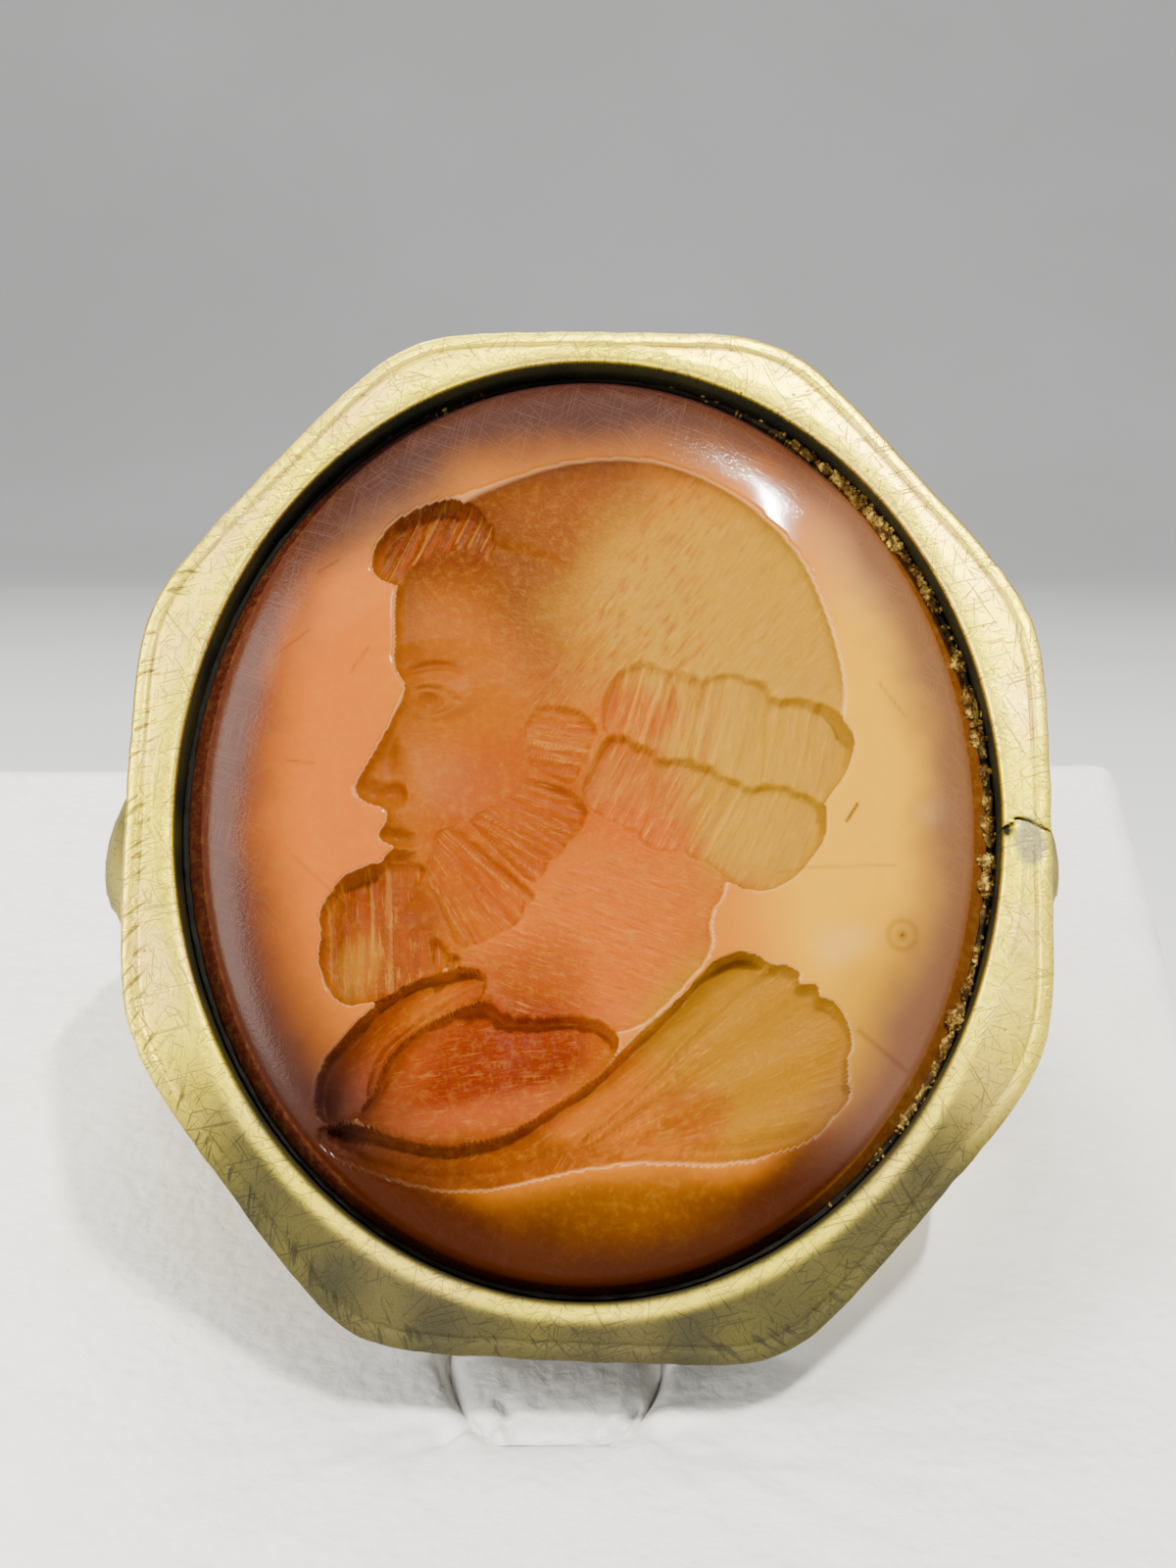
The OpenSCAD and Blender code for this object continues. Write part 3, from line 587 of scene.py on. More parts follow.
hair = {
    "bed": dict(outline=((0.0, 3.3), (1.2, 3.7), (2.6, 3.4), (4.2, 3.0), (5.4, 2.4), (5.8, 1.6), (5.1, 0.8),
        (5.0, -0.1), (4.2, -1.0), (3.2, -1.0), (2.0, -0.3), (1.0, 0.2), (-0.2, 0.9), (0.0, 2.0)), deep=0.40,
        shallow=0.34, edge=0.15, toward=75, strokes=(0.3, 0.02), grain=0.004),
    "temple": lock(1.0, 0.55, 0.36, 0.060, ((0.15, 2.45), (0.2, 3.05), (0.5, 3.7), (0.9, 3.95), (1.3, 4.12),
        (1.6, 3.92), (2.0, 3.8), (2.2, 3.0), (2.0, 2.2), (1.75, 1.55), (1.2, 1.75), (0.4, 2.0)), 74),
    "temple2": lock(0.95, 0.55, 0.34, 0.055, ((1.7, 3.8), (2.05, 3.85), (2.35, 3.75), (2.72, 3.62),
        (2.58, 2.8), (2.35, 1.5), (1.9, 1.35), (1.5, 1.5), (1.75, 2.6)), 75),
    "crown": lock(0.92, 0.5, 0.42, 0.040, ((2.5, 3.62), (2.9, 3.76), (3.4, 3.78), (3.9, 3.6), (4.22, 3.3),
        (4.15, 2.3), (3.98, 0.85), (3.4, 0.8), (2.9, 1.05), (2.1, 1.4), (2.3, 2.6)), 76, None, 0.85),
    "nape": lock(0.82, 0.42, 0.5, 0.028, ((4.0, 3.2), (4.5, 3.12), (5.1, 3.1), (5.55, 2.85), (5.85, 2.45),
        (6.05, 2.1), (5.95, 1.65), (5.8, 1.25), (5.55, 0.9), (5.2, 0.4), (4.6, 0.6), (3.7, 0.75),
        (3.85, 2.2)), 78, None, 0.9),
    "low": lock(1.02, 0.6, 0.32, 0.060, ((0.35, 2.3), (0.9, 2.32), (1.1, 2.15), (1.45, 2.02), (1.75, 1.7),
        (1.6, 0.8), (1.25, -0.25), (0.5, 0.15), (0.0, 0.35), (-0.35, 0.85), (0.0, 1.6)), 62, None, 0.5),
    "low2": lock(0.98, 0.55, 0.3, 0.045, ((1.45, 1.6), (1.8, 1.8), (2.3, 1.74), (2.9, 1.56), (3.2, 1.22),
        (2.65, 0.25), (2.2, -0.6), (1.5, -0.5), (0.95, -0.2), (1.3, 0.8)), 61),
    "low3": lock(0.9, 0.5, 0.36, 0.035, ((2.8, 1.5), (3.2, 1.32), (3.85, 1.08), (3.8, 0.5), (3.4, -0.3),
        (2.7, -0.85), (1.95, -0.5), (2.4, 0.3)), 62),
    "low4": lock(0.86, 0.42, 0.5, 0.028, ((3.55, 1.0), (4.0, 1.14), (4.5, 1.12), (4.85, 1.0), (5.25, 0.76),
        (5.4, 0.4), (5.34, -0.2), (5.07, -0.6), (4.7, -1.05), (4.2, -1.37), (3.8, -1.4), (3.3, -1.32),
        (2.8, -0.9), (2.45, -0.65), (3.1, -0.1)), 66, None, 0.9),
    "fore": lock(0.86, 0.42, 0.32, 0.050, ((-4.95, 6.6), (-4.5, 7.2), (-3.7, 7.65), (-2.8, 7.75),
        (-2.25, 7.35), (-2.05, 6.8), (-2.15, 6.15), (-2.8, 5.8), (-3.6, 5.7), (-4.4, 5.6), (-5.0, 5.95)), 66,
        None, 0.9),
}
beard = {
    "bed": dict(outline=((-1.7, 2.6), (0.0, 2.6), (0.1, 0.6), (-0.6, -0.6), (-1.4, -1.6), (-2.6, -2.4),
        (-3.3, -2.8), (-4.2, -3.4), (-5.3, -3.5), (-5.6, -2.0), (-4.6, -1.0), (-3.6, -0.4), (-2.5, 0.4)),
        deep=0.42, shallow=0.36, edge=0.25, toward=-45, strokes=(0.3, 0.02), grain=0.004),
    "side": lock(0.92, 0.72, 0.30, 0.065, ((-1.55, 2.65), (-1.2, 3.05), (-0.3, 2.95), (0.35, 2.5),
        (0.12, 1.8), (-0.28, 0.95), (-1.0, 1.25), (-1.85, 1.6), (-1.65, 2.2)), -8, None, 0.6),
    "jaw": lock(1.05, 0.62, 0.30, 0.060, ((-2.9, 0.3), (-2.2, 0.85), (-1.9, 1.55), (-1.0, 1.25),
        (-0.28, 0.95), (0.12, 0.5), (0.02, 0.2), (-0.3, -0.15), (-0.5, -0.5), (-0.85, -0.72), (-0.9, -0.95),
        (-1.2, -1.3), (-1.9, -0.7), (-2.5, -0.1)), None, (-5.3, 2.0), 0.5),
    "cheek": lock(1.0, 0.6, 0.30, 0.060, ((-3.5, 0.2), (-3.0, 0.25), (-2.7, 0.05), (-2.3, -0.35),
        (-1.85, -0.72), (-1.2, -1.3), (-1.1, -1.5), (-1.4, -1.8), (-1.5, -2.05), (-1.9, -2.35), (-2.2, -2.4),
        (-2.45, -2.6), (-2.75, -2.68), (-3.0, -2.55), (-3.25, -2.1), (-3.6, -1.6), (-3.8, -1.0),
        (-3.7, -0.5)), None, (-5.1, 1.7), 0.62),
    "tip": lock(0.96, 0.5, 0.36, 0.050, ((-4.4, -0.6), (-4.0, -0.55), (-3.5, -0.75), (-3.75, -1.2),
        (-3.75, -1.7), (-3.45, -2.3), (-3.05, -2.65), (-3.15, -3.2), (-3.8, -3.55), (-4.6, -3.85),
        (-5.1, -3.95), (-5.4, -3.95), (-5.7, -3.75), (-5.95, -3.3), (-6.05, -2.8), (-5.95, -2.4),
        (-6.05, -2.0), (-5.9, -1.6), (-5.6, -1.15), (-5.3, -0.95), (-4.8, -0.75)), 93, None, 0.9),
    "tuft": lock(0.72, 0.5, 0.3, 0.03, ((-3.15, -2.75), (-2.75, -2.75), (-2.8, -3.15), (-3.2, -3.2)), 90),
}

# The skull is one wide bowl that fades out under the hair; strokes show on its back, the front is smooth
skull = {
    "outline": ((-3.9, 4.6), (-4.2, 6.0), (-4.1, 7.2), (-3.2, 7.75), (-2.2, 8.05), (-1.2, 8.42), (-0.2, 8.66),
                (0.9, 8.72), (1.9, 8.58), (2.8, 8.22), (3.6, 7.72), (4.4, 7.0), (5.0, 6.2), (5.4, 5.2),
                (5.7, 4.2), (5.9, 3.0), (5.6, 1.6), (4.0, 0.2), (2.0, 0.2), (0.2, 1.2), (-1.5, 1.2),
                (-4.2, 2.2)),
    "middle": (0.9, 3.5), "half": (5.6, 5.75), "depth": 0.62, "edge": 0.42,
    "border": ((1.35, 8.34), (-1.77, 3.27)), "strokes": (52, 0.12, 0.030), "broken": 0.030,
}

# A calm, ideal head: crown at 8.7, chin at -2.6, eyes halfway, brow and nose at the thirds
face = {
    "profile": ((-3.0, 7.2), (-4.3, 6.2), (-4.42, 5.2), (-4.38, 4.3), (-4.42, 3.75), (-4.1, 3.3), (-4.3, 2.8),
                (-4.75, 1.9), (-5.2, 1.15), (-5.28, 0.9), (-5.05, 0.62), (-4.5, 0.48), (-4.52, 0.18),
                (-4.72, -0.08), (-4.62, -0.28), (-4.3, -0.4), (-4.55, -0.55), (-4.58, -0.78), (-4.28, -0.98),
                (-4.3, -1.3), (-4.5, -1.8), (-4.2, -2.5), (-3.5, -2.6), (-2.0, -2.0), (-0.6, -1.0),
                (1.5, 0.0), (1.0, 6.0)),
    "depth": 0.52, "edge": 0.20, "force": 1.35,
    # soft swellings of the flesh, deeper in the stone: x, y, half-width, half-height, turn, depth
    "swellings": ((-2.5, 1.9, 1.9, 1.6, -20, 0.20), (-3.55, 3.98, 1.5, 0.5, 4, 0.12),
                  (-4.6, 1.75, 0.45, 1.5, 24, 0.14), (-4.42, 0.86, 0.40, 0.36, 0, 0.19),
                  (-4.85, 0.92, 0.4, 0.34, 0, 0.10), (-3.9, -1.75, 0.8, 0.7, 0, 0.14),
                  (-3.3, 5.4, 1.6, 1.3, 0, 0.08), (-3.45, 3.1, 1.0, 0.52, 4, -0.16),
                  (-3.62, 3.04, 0.44, 0.33, 0, 0.26), (-3.6, 0.35, 0.5, 0.5, 0, -0.05),
                  (-4.25, -0.14, 0.5, 0.24, -8, 0.12), (-4.2, -0.66, 0.48, 0.24, 6, 0.12)),
    # crisp strokes: half-width, depth, points
    "strokes": ((0.13, 0.09, ((-4.3, 3.62), (-4.0, 3.8), (-3.5, 3.93), (-3.0, 3.84), (-2.5, 3.56))),
                (0.075, 0.13, ((-4.1, 3.16), (-3.9, 3.33), (-3.6, 3.38), (-3.3, 3.28), (-3.0, 3.06),
                 (-2.8, 2.98))),
                (0.05, 0.08, ((-3.98, 2.84), (-3.75, 2.76), (-3.45, 2.76), (-3.2, 2.86), (-3.0, 3.02))),
                (0.045, -0.09, ((-3.9, 3.22), (-3.94, 3.05), (-3.88, 2.9))),
                (0.05, -0.16, ((-4.75, -0.36), (-4.4, -0.38), (-4.05, -0.42), (-3.75, -0.36))),
                (0.06, -0.12, ((-4.72, 0.56), (-4.5, 0.66), (-4.3, 0.6))),
                (0.06, -0.10, ((-4.25, 1.22), (-4.08, 1.02), (-4.06, 0.78), (-4.18, 0.6)))),
}


def rounded(outline):  # cuts the corners of a closed outline
    points = np.array(outline, float)
    for _ in range(2):
        after = np.roll(points, -1, axis=0)
        points = np.stack([points * 0.75 + after * 0.25, points * 0.25 + after * 0.75], axis=1).reshape(-1, 2)
    return points


def offLine(x, y, a, b):  # the distance to a line from a to b, and how far along it
    span = (b[0] - a[0]) ** 2 + (b[1] - a[1]) ** 2 + 1e-9
    t = np.clip(((x - a[0]) * (b[0] - a[0]) + (y - a[1]) * (b[1] - a[1])) / span, 0, 1)
    return np.hypot(x - a[0] - t * (b[0] - a[0]), y - a[1] - t * (b[1] - a[1])), t


def edgeDistance(x, y, outline):  # positive inside the outline
    away = np.full(x.shape, 1e9)
    hits = np.zeros(x.shape, int)
    for a, b in zip(outline, np.roll(outline, -1, axis=0)):
        away = np.minimum(away, offLine(x, y, a, b)[0])
        rise = b[1] - a[1] if abs(b[1] - a[1]) > 1e-9 else 1e-9
        hits += ((a[1] > y) != (b[1] > y)) & (x < a[0] + (y - a[1]) / rise * (b[0] - a[0]))
    return np.where(hits % 2 == 1, away, -away)


def strands(across, along, pitch, seed):  # uneven rounded grooves side by side, with fine lines in them
    phase = across / pitch + 0.5 * wander(across, pitch * 2.5, seed)
    groove = 1 - np.abs(2 * (phase - np.floor(phase)) - 1) ** 2.2
    own = wander(np.floor(phase) * 7.3, 1.0, seed + 1)
    fine = wander(across, pitch * 0.20, seed + 2) + wander2(across, along * 0.10, pitch * 0.16, seed + 3)
    return (groove - 0.65) * (1 + 0.35 * own) + 0.22 * own + 0.38 * fine


def sink(x, y, cut, seed):  # one cut's depth, how its strands show and the way they run
    outline = rounded(cut["outline"])
    low, high = outline.min(axis=0) - 0.3, outline.max(axis=0) + 0.3
    near = (x > low[0]) & (x < high[0]) & (y > low[1]) & (y < high[1])
    px, py = x[near], y[near]
    middle = outline.mean(axis=0)
    if cut.get("fan"):
        centre = np.array(cut["fan"])
    else:
        a = radians(cut["toward"])
        centre = middle - 60 * np.array([cos(a), sin(a)])
    reach = np.hypot(*(middle - centre))
    base = np.arctan2(*(middle - centre)[::-1])

    def polar(qx, qy):
        turn = (np.arctan2(qy - centre[1], qx - centre[0]) - base + pi) % (2 * pi) - pi
        return turn * reach, np.hypot(qx - centre[0], qy - centre[1])

    across, along = polar(px, py)
    # where each line of strokes enters and leaves the outline
    after, bins = np.roll(outline, -1, axis=0), 71
    t = np.linspace(0, 1, 24, endpoint=False)[None, :]
    edgeAcross, edgeAlong = polar(*((outline[:, i:i + 1] * (1 - t) + after[:, i:i + 1] * t).ravel()
                                    for i in (0, 1)))
    steps = np.linspace(edgeAcross.min(), edgeAcross.max(), bins + 1)
    index = np.clip(np.digitize(edgeAcross, steps) - 1, 0, bins - 1)
    full = np.unique(index)
    mids = ((steps[1:] + steps[:-1]) / 2)[full]
    start = np.interp(across, mids, [edgeAlong[index == i].min() for i in full])
    end = np.interp(across, mids, [edgeAlong[index == i].max() for i in full])
    t = np.clip((along - start) / np.maximum(end - start, 0.2), 0, 1)
    inset = edgeDistance(px, py, outline) + cut.get("ragged", 0.02) * wander(across, 0.16, seed + 7)
    if "lobe" in cut:
        width, rise = cut["lobe"]
        scallop = rise * (1 - np.sqrt(np.abs(np.sin(
            pi * (across / width + 0.3 * wander(across, 1.3, seed + 8))))))
        inset = np.minimum(inset, end - scallop - along + 0.02)
    pitch, height = cut["strokes"]
    relief = strands(across, along, pitch, seed)
    floor = cut["shallow"] + (cut["deep"] - cut["shallow"]) * t
    body = floor * rounding(inset, cut["edge"]) + np.clip(inset / 0.10, 0, 1) * (
        height * relief * (0.45 + 0.55 * t) + cut["grain"] * wander2(px, py, 0.13, seed + 9))
    if "broad" in cut:  # wide furrows under the strokes, which then show in full
        pitch, height, sharp = cut["broad"]
        phase = across / pitch + 0.15 * wander(across, 1.7, seed + 11)
        phase = phase - np.floor(phase)
        body -= height * np.clip(t * 3, 0, 1) * (bell(np.minimum(phase, 1 - phase), sharp) - 0.3)
    if "bands" in cut:
        pitch, swell = cut["bands"]
        banded = (wander2(px * 0.12, py, pitch, seed + 12)
                  + 0.6 * wander2(px * 0.3, py, pitch * 0.5, seed + 13))
        body += np.clip(inset / 0.15, 0, 1) * swell * banded
    depth, shown, way = np.zeros(x.shape), np.zeros(x.shape), np.zeros((len(x), 3))
    depth[near] = np.where(inset > 0, np.maximum(body, 0.01), 0)
    shown[near] = relief * min(1, height / 0.04)
    if cut.get("sideways"):
        across, along = along, across
    way[near] = np.column_stack([across, along, np.full(px.shape, cut.get("lined", 0.6))])
    return depth, shown, way


def blendMax(a, b, width):
    h = np.clip(0.5 + 0.5 * (a - b) / width, 0, 1)
    return b * (1 - h) + a * h + width * h * (1 - h)


def headDepth(x, y):
    s, f = skull, face
    inset = edgeDistance(x, y, rounded(s["outline"]))
    q = np.hypot((x - s["middle"][0]) / s["half"][0], (y - s["middle"][1]) / s["half"][1])
    bowl = s["depth"] * np.sqrt(np.clip(1 - q ** 2.4, 0, 1))
    bowl = bowl * (1 - 0.62 * ease((3.9 - y) / 1.9) * ease((x + 1.2) / 1.5))
    bowl = np.maximum(bowl, 0.10) * rounding(inset, s["edge"])
    (ax, ay), (bx, by) = s["border"]
    side = ((x - ax) * (by - ay) - (y - ay) * (bx - ax)) / np.hypot(bx - ax, by - ay)
    inSkull = np.clip(inset / 0.12, 0, 1)
    back = ease((-side + 0.2) / 0.9)
    angle, pitch, height = s["strokes"]
    a = radians(angle)
    across, along = -x * sin(a) + y * cos(a), x * cos(a) + y * sin(a)
    patchy = 0.55 + 0.45 * wander2(x, y, 1.6, 75)
    grain = (wander2(across, along * 0.28, pitch * 0.55, 71)
             + 0.6 * wander2(across, along * 0.12, pitch * 0.3, 72))
    grain = height * grain
    ear = np.exp(-(((x + 0.2) / 2.2) ** 2 + ((y - 4.6) / 1.7) ** 2))
    broken = s["broken"] * ear * wander2(across, along * 0.45, 0.13, 73)
    bowl = bowl + inSkull * (back * (grain * patchy + broken) + 0.006 * wander2(across, along * 0.1, 0.1, 74))
    bowl = np.where(inset > 0, np.maximum(bowl, 0.01), 0)
    inset = edgeDistance(x, y, rounded(f["profile"]))
    flesh = np.full(x.shape, f["depth"])
    for cx, cy, halfX, halfY, turn, deep in f["swellings"]:
        c, d = cos(radians(turn)), sin(radians(turn))
        u, v = ((x - cx) * c + (y - cy) * d) / halfX, ((y - cy) * c - (x - cx) * d) / halfY
        flesh += f["force"] * deep * np.clip(1 - u * u - v * v, 0, 1) ** 1.3
    for half, deep, points in f["strokes"]:
        line = rounded(points)[:-6]  # the last points would close it
        away, where = np.full(x.shape, 9.0), np.zeros(x.shape)
        for i, (start, end) in enumerate(zip(line, line[1:])):
            off, t = offLine(x, y, start, end)
            where = np.where(off < away, (i + t) / (len(line) - 1), where)
            away = np.minimum(away, off)
        taper = np.sqrt(np.sin(pi * np.clip(0.06 + 0.88 * where, 0, 1)))
        flesh += f["force"] * deep * taper * np.clip(1 - (away / (half * taper)) ** 2, 0, 1) ** 0.7
    flesh = flesh * rounding(inset, f["edge"])
    flesh += 0.005 * wander2(x - y, (x + y) * 0.15, 0.12, 76) * np.clip(inset / 0.1, 0, 1)
    flesh = np.where(inset > 0, np.maximum(flesh, 0.01), 0)
    both = np.where((bowl > 0) & (flesh > 0), blendMax(bowl, flesh, 0.10), np.maximum(bowl, flesh))
    way = np.column_stack([across, along, 0.9 * inSkull * back * (flesh <= bowl)])
    return both, inSkull * back * grain / 0.055, way


def cutDepth(x, y):  # the deepest cut wins at each place
    total, relief, way = headDepth(x, y)
    seed = 100
    for group in (dress, hair, beard):
        for cut in group.values():
            depth, shown, lines = sink(x, y, cut, seed)
            relief = np.where(depth > total, shown, relief)
            way = np.where((depth > total)[:, None], lines, way)
            total = np.maximum(total, depth)
            seed += 20
    return total, relief, way


def concentric(n):  # a square net bent into a disc: radius and direction of each point
    line = np.linspace(-1, 1, n + 1)
    v, u = np.meshgrid(line, line, indexing="ij")
    wide = np.abs(u) > np.abs(v)
    r = np.where(wide, u, v)
    safe = np.where(np.abs(r) < 1e-12, 1.0, r)
    angle = np.where(wide, pi / 4 * v / safe, pi / 2 - pi / 4 * u / safe)
    return np.abs(r).ravel(), np.where(r < 0, angle + pi, angle).ravel()


def makeStone():
    s = stone
    n = s["net"]
    girdleW, girdleH, girdleZ = s["girdleHalfW"], s["girdleHalfH"], -s["girdleDown"]
    rimW, rimH = girdleW - s["rimInset"], girdleH - s["rimInsetUp"]
    r, angle = concentric(n)
    # the net's lines are spaced evenly over the dome, which falls steeply at its rim
    tries = 1 - (1 - np.linspace(0, 1, 3000)) ** 3
    dome = s["rise"] * np.sqrt(np.clip(1 - tries ** 4, 0, 1))
    length = np.concatenate([[0], np.cumsum(np.hypot(np.diff(tries) * rimW, np.diff(dome)))])
    q = np.interp(r * length[-1], length, tries)
    x, y = q * rimW * np.cos(angle), q * rimH * np.sin(angle) + s["up"]
    cut, relief, way = cutDepth(x, y)
    cut = cut * np.clip((1 - q) / 0.01, 0, 1)
    top = np.column_stack([x, y, -s["rimDown"] + s["rise"] * np.sqrt(np.clip(1 - q ** 4, 0, 1)) - cut])
    faces = gridFaces(n + 1, n + 1)
    i = np.arange(n)
    edge = np.concatenate([i, i * (n + 1) + n, n * (n + 1) + n - i, (n - i) * (n + 1)])
    rim, points, rings = top[edge], [top], [edge]
    for z, halfW, halfH in ((-0.95, girdleW - 0.14, girdleH - 0.07), (girdleZ, girdleW, girdleH),
                            (girdleZ - s["girdleTall"], girdleW, girdleH),
                            (s["bottom"], girdleW - s["keelInset"], girdleH - s["keelInset"])):
        rings.append(np.arange(len(edge)) + sum(len(p) for p in points))
        points.append(np.column_stack([rim[:, 0] * halfW / rimW,
                                       (rim[:, 1] - s["up"]) * halfH / rimH + s["up"],
                                       np.full(len(edge), z)]))
    for above, below in zip(rings, rings[1:]):
        faces += np.stack([np.roll(above, -1), above, below, np.roll(below, -1)], axis=-1).tolist()
    faces.append(rings[-1].tolist()[::-1])
    points = np.concatenate(points)
    piece = newPiece("stoneCarved", onRing(points), faces, stoneFinish())
    outward(piece)

    def whole(values, rest):  # the rings below the rim all take the same mark
        return np.concatenate([values, np.full(len(points) - len(top), float(rest))])

    paint(piece, cut=whole(cut, 0), rim=whole(q, 1), strand=whole(relief, 0), lineAcross=whole(way[:, 0], 0),
          lineAlong=whole(way[:, 1], 0), lined=whole(way[:, 2], 0), border=whole(borderMark(x, y, q), 1),
          flaw=whole(flawMark(x, y), 0))
    layUv(piece, points[:, 0], points[:, 1])
    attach(piece, "root")
    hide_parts("intaglio_stone")
    print("stone:", len(piece.data.polygons), "faces")


# Colour zones of the polished field and of the carving, laid over one another: middle x, y, half-sizes, turn,
# softness, strength, colour. The scratches are given as the gold's are
carnelian = {
    "field": {
        "ground": (0.39, 0.112, 0.0042),
        "peachRight": (7.6, 0.2, 4.2, 8.6, 0, 0.5, 1.0, (0.525, 0.252, 0.0044)),
        "tanRight": (7.2, -4.8, 2.4, 3.4, -20, 0.6, 0.8, (0.302, 0.144, 0.0043)),
        "salmonLeft": (-6.4, 1.6, 3.2, 7.4, 8, 0.6, 0.9, (0.381, 0.0873, 0.0076)),
        "duskLeft": (-5.2, 8.0, 3.0, 1.9, 38, 0.7, 0.85, (0.13, 0.0534, 0.0213)),
        # a painted reflection: the lights' mauve-grey sheen on the upper right
        "mauveSheen": (6.2, 6.8, 2.0, 1.7, -50, 0.8, 0.35, (0.339, 0.17, 0.0932)),
        "cloudRight": (8.0, 0.3, 0.45, 0.5, 0, 0.9, 0.25, (0.5, 0.36, 0.29)),
        "cloudLow": (5.8, -2.6, 0.6, 0.5, 0, 0.9, 0.13, (0.52, 0.38, 0.24)),
        "amberFoot": (1.2, -8.9, 4.2, 1.6, -2, 0.45, 1.0, (0.122, 0.0354, 0.0006)),
        "footLeft": (-4.2, -8.7, 2.8, 1.4, -28, 0.5, 0.95, (0.0305, 0.0032, 0.0005)),
        "footRight": (5.4, -7.8, 2.2, 1.5, 42, 0.5, 0.85, (0.0407, 0.0097, 0.0005)),
    },
    "carving": {
        "ground": (0.28, 0.073, 0.003),
        "skullRed": (-2.4, 5.8, 3.2, 3.4, 40, 0.5, 0.95, (0.11, 0.027, 0.0032)),
        "skullTop": (-0.1, 7.5, 1.7, 1.3, 30, 0.4, 0.9, (0.14, 0.034, 0.003)),
        "skullPale": (0.6, 4.9, 2.0, 1.9, 20, 0.7, 0.85, (0.263, 0.11, 0.0053)),
        "tanBack": (3.9, 3.8, 3.3, 5.2, 32, 0.35, 0.95, (0.306, 0.153, 0.009)),
        "foreLock": (-3.6, 6.8, 1.7, 1.3, 20, 0.4, 0.95, (0.0966, 0.0182, 0.002)),
        "tanHair": (4.2, 0.8, 2.4, 2.4, 0, 0.4, 0.95, (0.305, 0.149, 0.0046)),
        "front": (-3.4, 2.4, 2.5, 3.6, 0, 0.4, 0.9, (0.245, 0.0616, 0.0029)),
        "orangeEar": (0.9, 2.75, 1.2, 0.6, 0, 0.6, 0.9, (0.275, 0.0648, 0.0007)),
        "orangeLow": (0.6, 0.1, 1.9, 0.55, -30, 0.6, 0.95, (0.306, 0.0563, 0.0008)),
        "beard": (-1.9, 0.2, 1.7, 2.6, -40, 0.4, 0.9, (0.218, 0.0404, 0.0013)),
        "beardTip": (-4.7, -2.3, 1.6, 1.9, 0, 0.4, 0.95, (0.137, 0.0244, 0.0015)),
        "yellowTip": (-5.3, -3.1, 0.6, 1.0, 0, 0.5, 0.8, (0.254, 0.0996, 0.0038)),
        "neck": (0.0, -2.4, 3.0, 2.4, 20, 0.5, 0.9, (0.327, 0.0693, 0.0042)),
        "neckLeft": (-1.5, -3.5, 1.9, 1.3, 15, 0.6, 0.9, (0.2, 0.036, 0.002)),
        "chest": (-2.4, -5.0, 3.0, 1.5, 12, 0.5, 0.95, (0.108, 0.0066, 0.0002)),
        "chestFoot": (-2.6, -6.4, 2.4, 0.7, 10, 0.6, 0.8, (0.224, 0.0397, 0.0068)),
        "collar": (-5.0, -5.3, 1.5, 1.9, -30, 0.4, 0.9, (0.161, 0.0254, 0.0008)),
        "fold": (-2.6, -7.2, 3.4, 0.75, 4, 0.5, 0.9, (0.13, 0.026, 0.0007)),
        "foldTan": (2.4, -3.9, 1.7, 0.9, 45, 0.5, 0.9, (0.275, 0.107, 0.0015)),
        "tanFan": (4.3, -4.8, 3.4, 2.7, 30, 0.35, 0.9, (0.228, 0.0994, 0.0027)),
        "redPatch": (2.1, -6.4, 1.0, 0.7, 10, 0.4, 0.8, (0.203, 0.0515, 0.002)),
    },
    "deepCut": (0.22, 0.034, 0.001), "deepOlive": (0.25, 0.12, 0.004), "crestHighlight": (0.56, 0.27, 0.035),
    "brinkHighlight": (0.74, 0.42, 0.16), "mottle": (0.74, 0.38, 0.03), "maroon": (0.110, 0.020, 0.012),
    "rust": (0.17, 0.052, 0.008), "plum": (0.032, 0.011, 0.009), "mauve": (0.105, 0.045, 0.028),
    "umber": (0.034, 0.006, 0.0004), "flaw": (0.06, 0.018, 0.006), "scuff": (0.30, 0.19, 0.13),
    "crumb": (0.27, 0.12, 0.025),
    "scuffs": ((35, 900, 0, 0.62), (78, 700, 0, 0.62), (130, 800, 0, 0.62), (-20, 760, 0, 0.62)),
    "scuffLong": 70, "scuffStep": (0.21, 0.13), "scuffFade": 0.08, "bend": (5.0, 0.10),
    "strokePitch": (12.0, 1.3), "mottlePitch": 90.0, "finePitch": 600.0, "gritPitch": 210.0,
    "strokeDeep": 1.3, "rough": (0.035, 0.22), "gloss": (0.13, 0.035),
}


# Painted shade that darkens the stone towards its rim: direction in degrees, width in millimetres, strength
border = ((-180, 2.6, 0.92), (-160, 2.8, 0.94), (-140, 3.3, 0.98), (-120, 3.0, 0.98), (-100, 2.3, 0.97),
          (-80, 1.9, 0.97), (-60, 2.3, 0.97), (-40, 2.3, 0.95), (-20, 2.1, 0.92), (0, 2.0, 0.90),
          (20, 2.0, 0.90), (40, 1.9, 0.88), (60, 1.8, 0.88), (80, 3.4, 0.97), (100, 3.4, 0.97),
          (120, 2.6, 0.95), (140, 2.0, 0.88), (160, 2.3, 0.90), (180, 2.6, 0.92))
# Small flaws in the surface: from, to, half-width, strength
flaws = (((5.82, 0.20), (6.06, 0.58), 0.035, 1.0), ((4.3, -0.9), (6.9, -0.8), 0.03, 0.35),
         ((6.0, -4.5), (7.1, -5.4), 0.035, 0.6), ((-6.2, 6.0), (-5.7, 6.3), 0.03, 0.5),
         ((-7.2, 4.0), (-6.4, 4.6), 0.03, 0.4), ((-6.8, 1.6), (-6.2, 1.5), 0.03, 0.4),
         ((-6.6, -0.6), (-5.2, -1.9), 0.025, 0.35), ((6.6, 3.4), (7.2, 2.6), 0.03, 0.35),
         ((-5.4, 3.6), (-5.0, 4.2), 0.03, 0.4))
eyeFlaw = (7.02, -2.37)  # a small ringed pit


